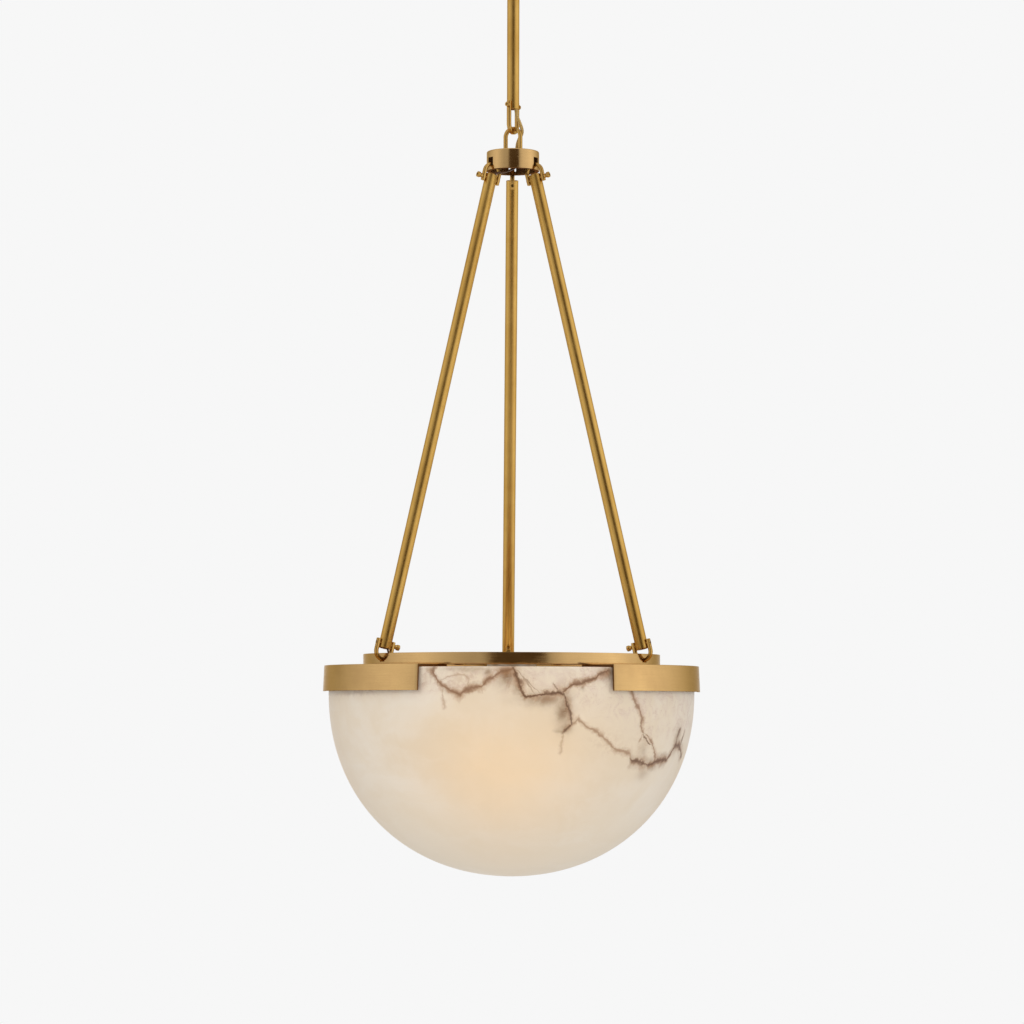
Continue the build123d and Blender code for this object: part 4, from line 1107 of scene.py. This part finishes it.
class PENDANT_OT_ring(bpy.types.Operator):
    """Ring with its inner flange, and the three rim brackets under it"""

    bl_idname = "pendant.ring"
    bl_label = "Ring and brackets"

    def execute(self, context):
        size = sizes()
        brass = metal("Satin brass")
        top, bottom, outer = high("upper_ring"), low("upper_ring"), reach("upper_ring")
        inner = outer - size.ring_wall
        flange_in, flange_top = inner - size.flange_width, bottom + size.flange_thickness
        lintel = top - size.ring_bar
        sill = lintel - size.ring_window
        points = [
            (outer, top), (outer, lintel), (outer, sill), (outer, bottom), (flange_in, bottom), (flange_in, flange_top),
            (inner, flange_top), (inner, sill), (inner, lintel), (inner, top)]
        ring = windowed_band(
            points, [(size.edge, [0, 3, 4, 5, 9])], size.window_width, (sill, lintel), 84)
        # Painted shade: the ring's underside gets the dark brass.
        add_piece("ring_band", ring, brass, ["upper_ring"], raw=lambda face: face.normal.z < -0.5)

        plate = bottom - 3.2 * MM
        foot = low("left_bracket")
        wide = reach("right_bracket")
        half = size.bracket_sweep / 2
        for side, turn in SIDES:
            bm = bmesh.new()
            upper = wide - size.bracket_flare
            shelf = upper - size.bracket_wall + size.bracket_flare * 0.1
            outline(bm, [
                (flange_in, bottom), (upper, bottom), (wide, foot), (wide - size.bracket_wall, foot), (shelf, plate),
                (flange_in, plate)], [(0.6 * MM, [1]), (size.edge, [2, 3])], face=True)
            move(bm, Matrix.Rotation(-half, 4, "Z"))
            geom = bm.verts[:] + bm.edges[:] + bm.faces[:]
            spin(bm, geom, size.bracket_sweep, 56)
            bmesh.ops.recalc_face_normals(bm, faces=bm.faces)
            ends = {e for f in bm.faces if len(f.verts) > 4 for e in f.edges}
            soften(bm, list(ends), size.edge, 2, "EDGES")
            boss_out = shelf + 1 * MM
            for way in BOSS_TURNS:
                boss = turned_solid(
                    [(0, 0), (5 * MM, 0), (5 * MM, boss_out - BOSS_START), (0, boss_out - BOSS_START)],
                    [(0.4 * MM, [1])], steps=24)
                move(boss, about_z(way) @ shift(BOSS_START, 0, high("bowl") - BOSS_DROP) @ along_x())
                join(bm, boss)
            move(bm, about_z(turn))
            away = Vector((math.cos(math.radians(turn)), math.sin(math.radians(turn)), 0))

            # Painted shade: cut ends, inward faces and undersides of the bracket get the dark brass.
            def in_painted_shade(face, away=away):
                place = face.calc_center_median()
                flat = Vector((place.x, place.y, 0)).normalized()
                outward = face.normal.dot(flat)
                cut = abs(face.normal.cross(flat).z) > 0.5 and flat.dot(away) < math.cos(half - 0.01)
                return cut or outward < -0.5 or face.normal.z < -0.5

            add_piece(side + "_rim_bracket", bm, brass, [side + "_bracket"], raw=in_painted_shade)
        return {"FINISHED"}


class PENDANT_OT_bowl(bpy.types.Operator):
    """Alabaster bowl"""

    bl_idname = "pendant.bowl"
    bl_label = "Bowl"

    def execute(self, context):
        size = sizes()
        rim, bottom, outer = high("bowl"), low("bowl"), reach("bowl")
        inner, neck = outer - size.bowl_wall, high("bowl") - size.bowl_neck

        def side(radius, floor, count):
            depth = neck - floor
            full = size.bowl_fullness
            bend = interpolate_bezier(
                (radius, 0, neck), (radius, 0, neck - full * depth), (full * radius, 0, floor), (0, 0, floor), count)
            return [(p.x, p.z) for p in bend]

        points = [(inner, rim), (outer, rim), (outer, rim - size.bowl_neck / 2)]
        points += side(outer, bottom, 52)
        points += reversed(side(inner, bottom + size.bowl_floor, 40))
        points += [(inner, rim - size.bowl_neck / 2)]
        bm = turned_solid(points, [(1.4 * MM, [0, 1])], steps=176)
        add_piece("stone_bowl", bm, finish("Alabaster", alabaster), ["bowl"], "fixture", sharp=60.0)
        return {"FINISHED"}


class PENDANT_OT_lamps(bpy.types.Operator):
    """Three porcelain lampholders with their opal lamps"""

    bl_idname = "pendant.lamps"
    bl_label = "Lamps"

    def execute(self, context):
        china, glass = mottled("Porcelain"), finish("Opal glass", opal_glass)
        seat = shift(17 * MM, 0, high("cluster_body") - 22 * MM) @ Matrix.Rotation(
            math.radians(135), 4, "Y")
        neck_r, wide, tall = 12 * MM, 30 * MM, 81 * MM
        start = 39 * MM
        centre = tall - wide
        shoulder = interpolate_bezier(
            (neck_r, 0, 16 * MM), (neck_r, 0, 31 * MM), (wide, 0, 31 * MM), (wide, 0, centre), 16)
        bulb = [(0, 0), (neck_r, 0)] + [(p.x, p.z) for p in shoulder]
        for step in range(1, 12):
            lift = math.radians(90 * step / 12)
            bulb.append((wide * math.cos(lift), centre + wide * math.sin(lift)))
        bulb.append((0, tall))
        for number, turn in enumerate(LAMP_TURNS, start=1):
            holder = turned_solid([
                (0, 0), (16.5 * MM, 0), (16.5 * MM, 6 * MM), (20 * MM, 6 * MM), (20 * MM, 42 * MM),
                (13.6 * MM, 42 * MM), (13.6 * MM, 12 * MM), (0, 12 * MM)],
                [(1.0 * MM, [1]), (1.6 * MM, [3]), (2.4 * MM, [4]), (1.0 * MM, [5])], steps=64)
            move(holder, about_z(turn) @ seat)
            add_piece(f"holder_{number}", holder, china, [f"lampholder_{number}"], "fixture")
            globe = turned_solid(bulb, steps=64)
            move(globe, about_z(turn) @ seat @ shift(0, 0, start))
            add_piece(f"lamp_{number}", globe, glass, [f"bulb_{number}"], "fixture", sharp=50.0)
        return {"FINISHED"}


# Where a bend of the cord is split in two, and where its parts start and stop to bend, from the stem's end.
CORD_SPLIT, STEM_SIDE, LOOP_SIDE = 17.0 * MM, (0.5 * MM, 16.5 * MM), (18.0 * MM, 42.0 * MM)


class PENDANT_OT_cord(bpy.types.Operator):
    """Gold cord round both shackles, made in two parts at each end of the stem"""

    bl_idname = "pendant.cord"
    bl_label = "Cord"

    def execute(self, context):
        braid = finish("Gold braid", gold_braid)
        radius = sizes().cord / 2
        upper_end, lower_end = high("stem"), low("stem")
        hub_entry = (3.4, 3.2, low("lower_cord_bend"))
        for name, end, way, last, outside, link in (
            ("upper", upper_end, 1, [(0, 0, -29.4 * MM), (0, 0, high("upper_cord_bend"))], "ceiling_set", "upper_link"),
            ("lower", lower_end, -1, [hub_entry], "fixture", "lower_link"),
        ):
            line = bend_line(end, way, last)
            split = min(range(len(line)), key=lambda i: abs(line[i].z - (end + way * CORD_SPLIT)))
            for part, run, first, second, (start, stop) in (
                ("stem", line[: split + 1], "stem", link, STEM_SIDE), ("loop", line[split:], link, outside, LOOP_SIDE),
            ):
                piece = add_piece(
                    f"{name}_cord_{part}_side", swept_cord(run, radius), braid, [name + "_cord_bend"], None,
                    sharp=70.0)
                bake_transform(piece)
        return {"FINISHED"}


class PENDANT_OT_inner_pieces(bpy.types.Operator):
    """Finishes for the pieces whose shape comes straight from the frame"""

    bl_idname = "pendant.inner_pieces"
    bl_label = "Inner pieces"

    def execute(self, context):
        steel, brass = metal("Zinc steel"), metal("Bar brass")
        finishes = {
            "mounting_bar": steel, "canopy_nipple": steel, "nipple_nut": steel, "lamp_spider": steel,
            "spider_screws": steel, "cluster_body": steel, "cluster_nipple": steel, "cluster_nuts": steel,
            "ground_screw": brass, "hub_loop_nuts": brass, "bracket_screws": brass, "bowl_screws": brass,
            "bowl_washers": mottled("Nylon"), "bulb_caps": metal("Lamp cap"), "arm_lead": mottled("Brown lead")}
        pad, braid = mottled("Rim pad"), finish("Gold braid", gold_braid)
        finishes.update({side + "_rim_pad": pad for side, _ in SIDES})
        finishes.update({"supply_cord": braid, "stem_cord": braid})
        for node, look in finishes.items():
            for place in NODES[node].material_slots:
                place.material = look
        return {"FINISHED"}


# How bright the room round the light is to metal: (turn from the front in degrees, strength).
ROOM = (
    (-180, 0.98), (-158, 0.62), (-135, 0.55), (-118, 0.72), (-98, 0.90), (-76, 1.02), (-58, 0.80), (-42, 0.62),
    (-22, 0.55), (-16.5, 0.08), (23.5, 0.08), (28, 0.62), (40, 0.92), (56, 1.02), (84, 1.26), (102, 1.05),
    (122, 0.80), (142, 0.52), (162, 0.62), (180, 0.98),
)

ROOM_TOP = 1.3  # more than any of those strengths
FLOOR_RADIUS, FLOOR_LEVEL = 9.0, -4.3
LAMP_AIM = Vector((0, 0, -0.95))


class PENDANT_OT_stage(bpy.types.Operator):
    """Pale studio: floor, background, soft lamps and the camera"""

    bl_idname = "pendant.stage"
    bl_label = "Studio"

    def execute(self, context):
        self.background()
        self.floor()
        self.lamps()
        self.camera()
        return {"FINISHED"}

    def background(self):
        """Pale all round; metal sees soft boxes at the sides and the dark of the room behind the camera."""
        world = bpy.data.worlds.new("Studio")
        bpy.context.scene.world = world
        world.use_nodes = True
        world.node_tree.nodes.clear()
        nodes = Nodes(world.node_tree)
        way = nodes.split(nodes.coordinates("Generated"))
        spots = [((angle + 180.0) / 360.0, strength / ROOM_TOP) for angle, strength in ROOM]
        room = nodes.curve(nodes.turn(way), -math.pi, math.pi, spots, "Soft boxes round the room")
        level = nodes.ramp(nodes.math("ABSOLUTE", way[2]), 0.55, 0.85)
        room = nodes.plus(nodes.times(room, ROOM_TOP, nodes.minus(1.0, level)), nodes.times(level, 0.85))
        path = nodes.add("ShaderNodeLightPath").outputs
        direct = nodes.most(path["Is Camera Ray"], path["Is Transmission Ray"])
        strength = nodes.ramp(path["Is Glossy Ray"], 0.0, 1.0, 0.80, room, False)
        strength = nodes.ramp(direct, 0.0, 1.0, strength, 1.0, False)
        dark = nodes.times(path["Is Glossy Ray"], nodes.ramp(room, 0.05, 0.5, 1.0, 0.0))
        tint = nodes.mix(dark, tone("studio"), (1.05, 0.72, 0.42))
        nodes.end("ShaderNodeBackground", "ShaderNodeOutputWorld", {"Color": tint, "Strength": strength})

    def floor(self):
        def pale(nodes):
            cloud = nodes.ramp(nodes.noise(nodes.coordinates(), 0.6, 2.0), 0.3, 0.7)
            seen = nodes.add("ShaderNodeLightPath").outputs["Is Camera Ray"]
            return {
                "Base Color": nodes.mix(cloud, (0.88, 0.88, 0.88), (0.86, 0.86, 0.86)), "Roughness": 0.9,
                "Specular IOR Level": 0.0, "Emission Color": (1.0, 1.0, 1.0),
                "Emission Strength": nodes.times(seen, 0.27)}

        bm = bmesh.new()
        bmesh.ops.create_circle(bm, cap_ends=True, segments=96, radius=FLOOR_RADIUS)
        bmesh.ops.translate(bm, vec=(0, 0, FLOOR_LEVEL), verts=bm.verts)
        mesh = bpy.data.meshes.new("floor")
        bm.to_mesh(mesh)
        bm.free()
        mesh.materials.append(finish("Studio floor", pale))
        floor = bpy.data.objects.new("floor", mesh)
        bpy.context.scene.collection.objects.link(floor)
        floor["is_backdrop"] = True

    def lamps(self):
        for name, place, size, power in (
            ("key", (-2.6, -2.6, 0.6), 1.8, 30.0),
            ("fill", (2.9, -2.2, 0.2), 1.8, 22.0),
            ("top", (0.3, -0.4, 2.4), 2.2, 26.0),
            ("back", (0.5, 3.2, 0.4), 2.0, 14.0),
            ("low", (0.2, -2.6, -3.0), 1.8, 16.0),
        ):
            data = bpy.data.lights.new(name, "AREA")
            data.shape = "DISK"
            data.size = size
            data.energy = power
            lamp = bpy.data.objects.new(name, data)
            lamp.location = place
            aim = LAMP_AIM - Vector(place)
            lamp.rotation_euler = aim.to_track_quat("-Z", "Y").to_euler()
            lamp.visible_glossy = False
            bpy.context.scene.collection.objects.link(lamp)

    def camera(self):
        turn, tilt, roll = math.radians(1.4), math.radians(3.32), math.radians(0.15)
        away, level = 4.317, high("bowl") - 59.32 * MM
        data = bpy.data.cameras.new("camera")
        data.lens = 124.8
        data.sensor_width = 36.0
        data.clip_end = 60.0
        camera = bpy.data.objects.new("camera", data)
        camera.location = (-away * math.sin(turn), -away * math.cos(turn), level)
        look = Vector((math.sin(turn) * math.cos(tilt), math.cos(turn) * math.cos(tilt), math.sin(tilt)))
        spin = look.to_track_quat("-Z", "Y") @ Matrix.Rotation(roll, 3, "Z").to_quaternion()
        camera.rotation_euler = spin.to_euler()
        bpy.context.scene.collection.objects.link(camera)
        bpy.context.scene.camera = camera
        bpy.context.scene.view_settings.view_transform = "Standard"


OPERATORS = (
    PENDANT_OT_stage, PENDANT_OT_cord, PENDANT_OT_canopy, PENDANT_OT_stem, PENDANT_OT_main_shackles, PENDANT_OT_hub,
    PENDANT_OT_arms, PENDANT_OT_ring, PENDANT_OT_bowl, PENDANT_OT_lamps, PENDANT_OT_inner_pieces)


class PENDANT_PT_panel(bpy.types.Panel):
    """Lists the pendant's pieces"""

    bl_label = "Pendant"
    bl_idname = "PENDANT_PT_panel"
    bl_space_type = "VIEW_3D"
    bl_region_type = "UI"
    bl_category = "Pendant"

    def draw(self, context):
        for operator in OPERATORS:
            self.layout.operator(operator.bl_idname)
        for group in (context.scene.pendant_sizes, context.scene.pendant_colours):
            box = self.layout.box()
            for name in group.__annotations__:
                box.prop(group, name)


CLASSES = (PendantSizes, PendantColours, *OPERATORS, PENDANT_PT_panel)


def register():
    for item in CLASSES:
        bpy.utils.register_class(item)
    bpy.types.Scene.pendant_sizes = PointerProperty(type=PendantSizes)
    bpy.types.Scene.pendant_colours = PointerProperty(type=PendantColours)


def unregister():
    del bpy.types.Scene.pendant_colours
    del bpy.types.Scene.pendant_sizes
    for item in reversed(CLASSES):
        bpy.utils.unregister_class(item)


def corners(box):
    return [[float(v) for v in corner] for corner in box]


def main():
    register()
    for operator in OPERATORS:
        name = operator.bl_idname.split(".")[1]
        getattr(bpy.ops.pendant, name)()
    {"cad": corners(CAD_BOX), "visual": corners(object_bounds())}


if __name__ == "__main__":
    main()
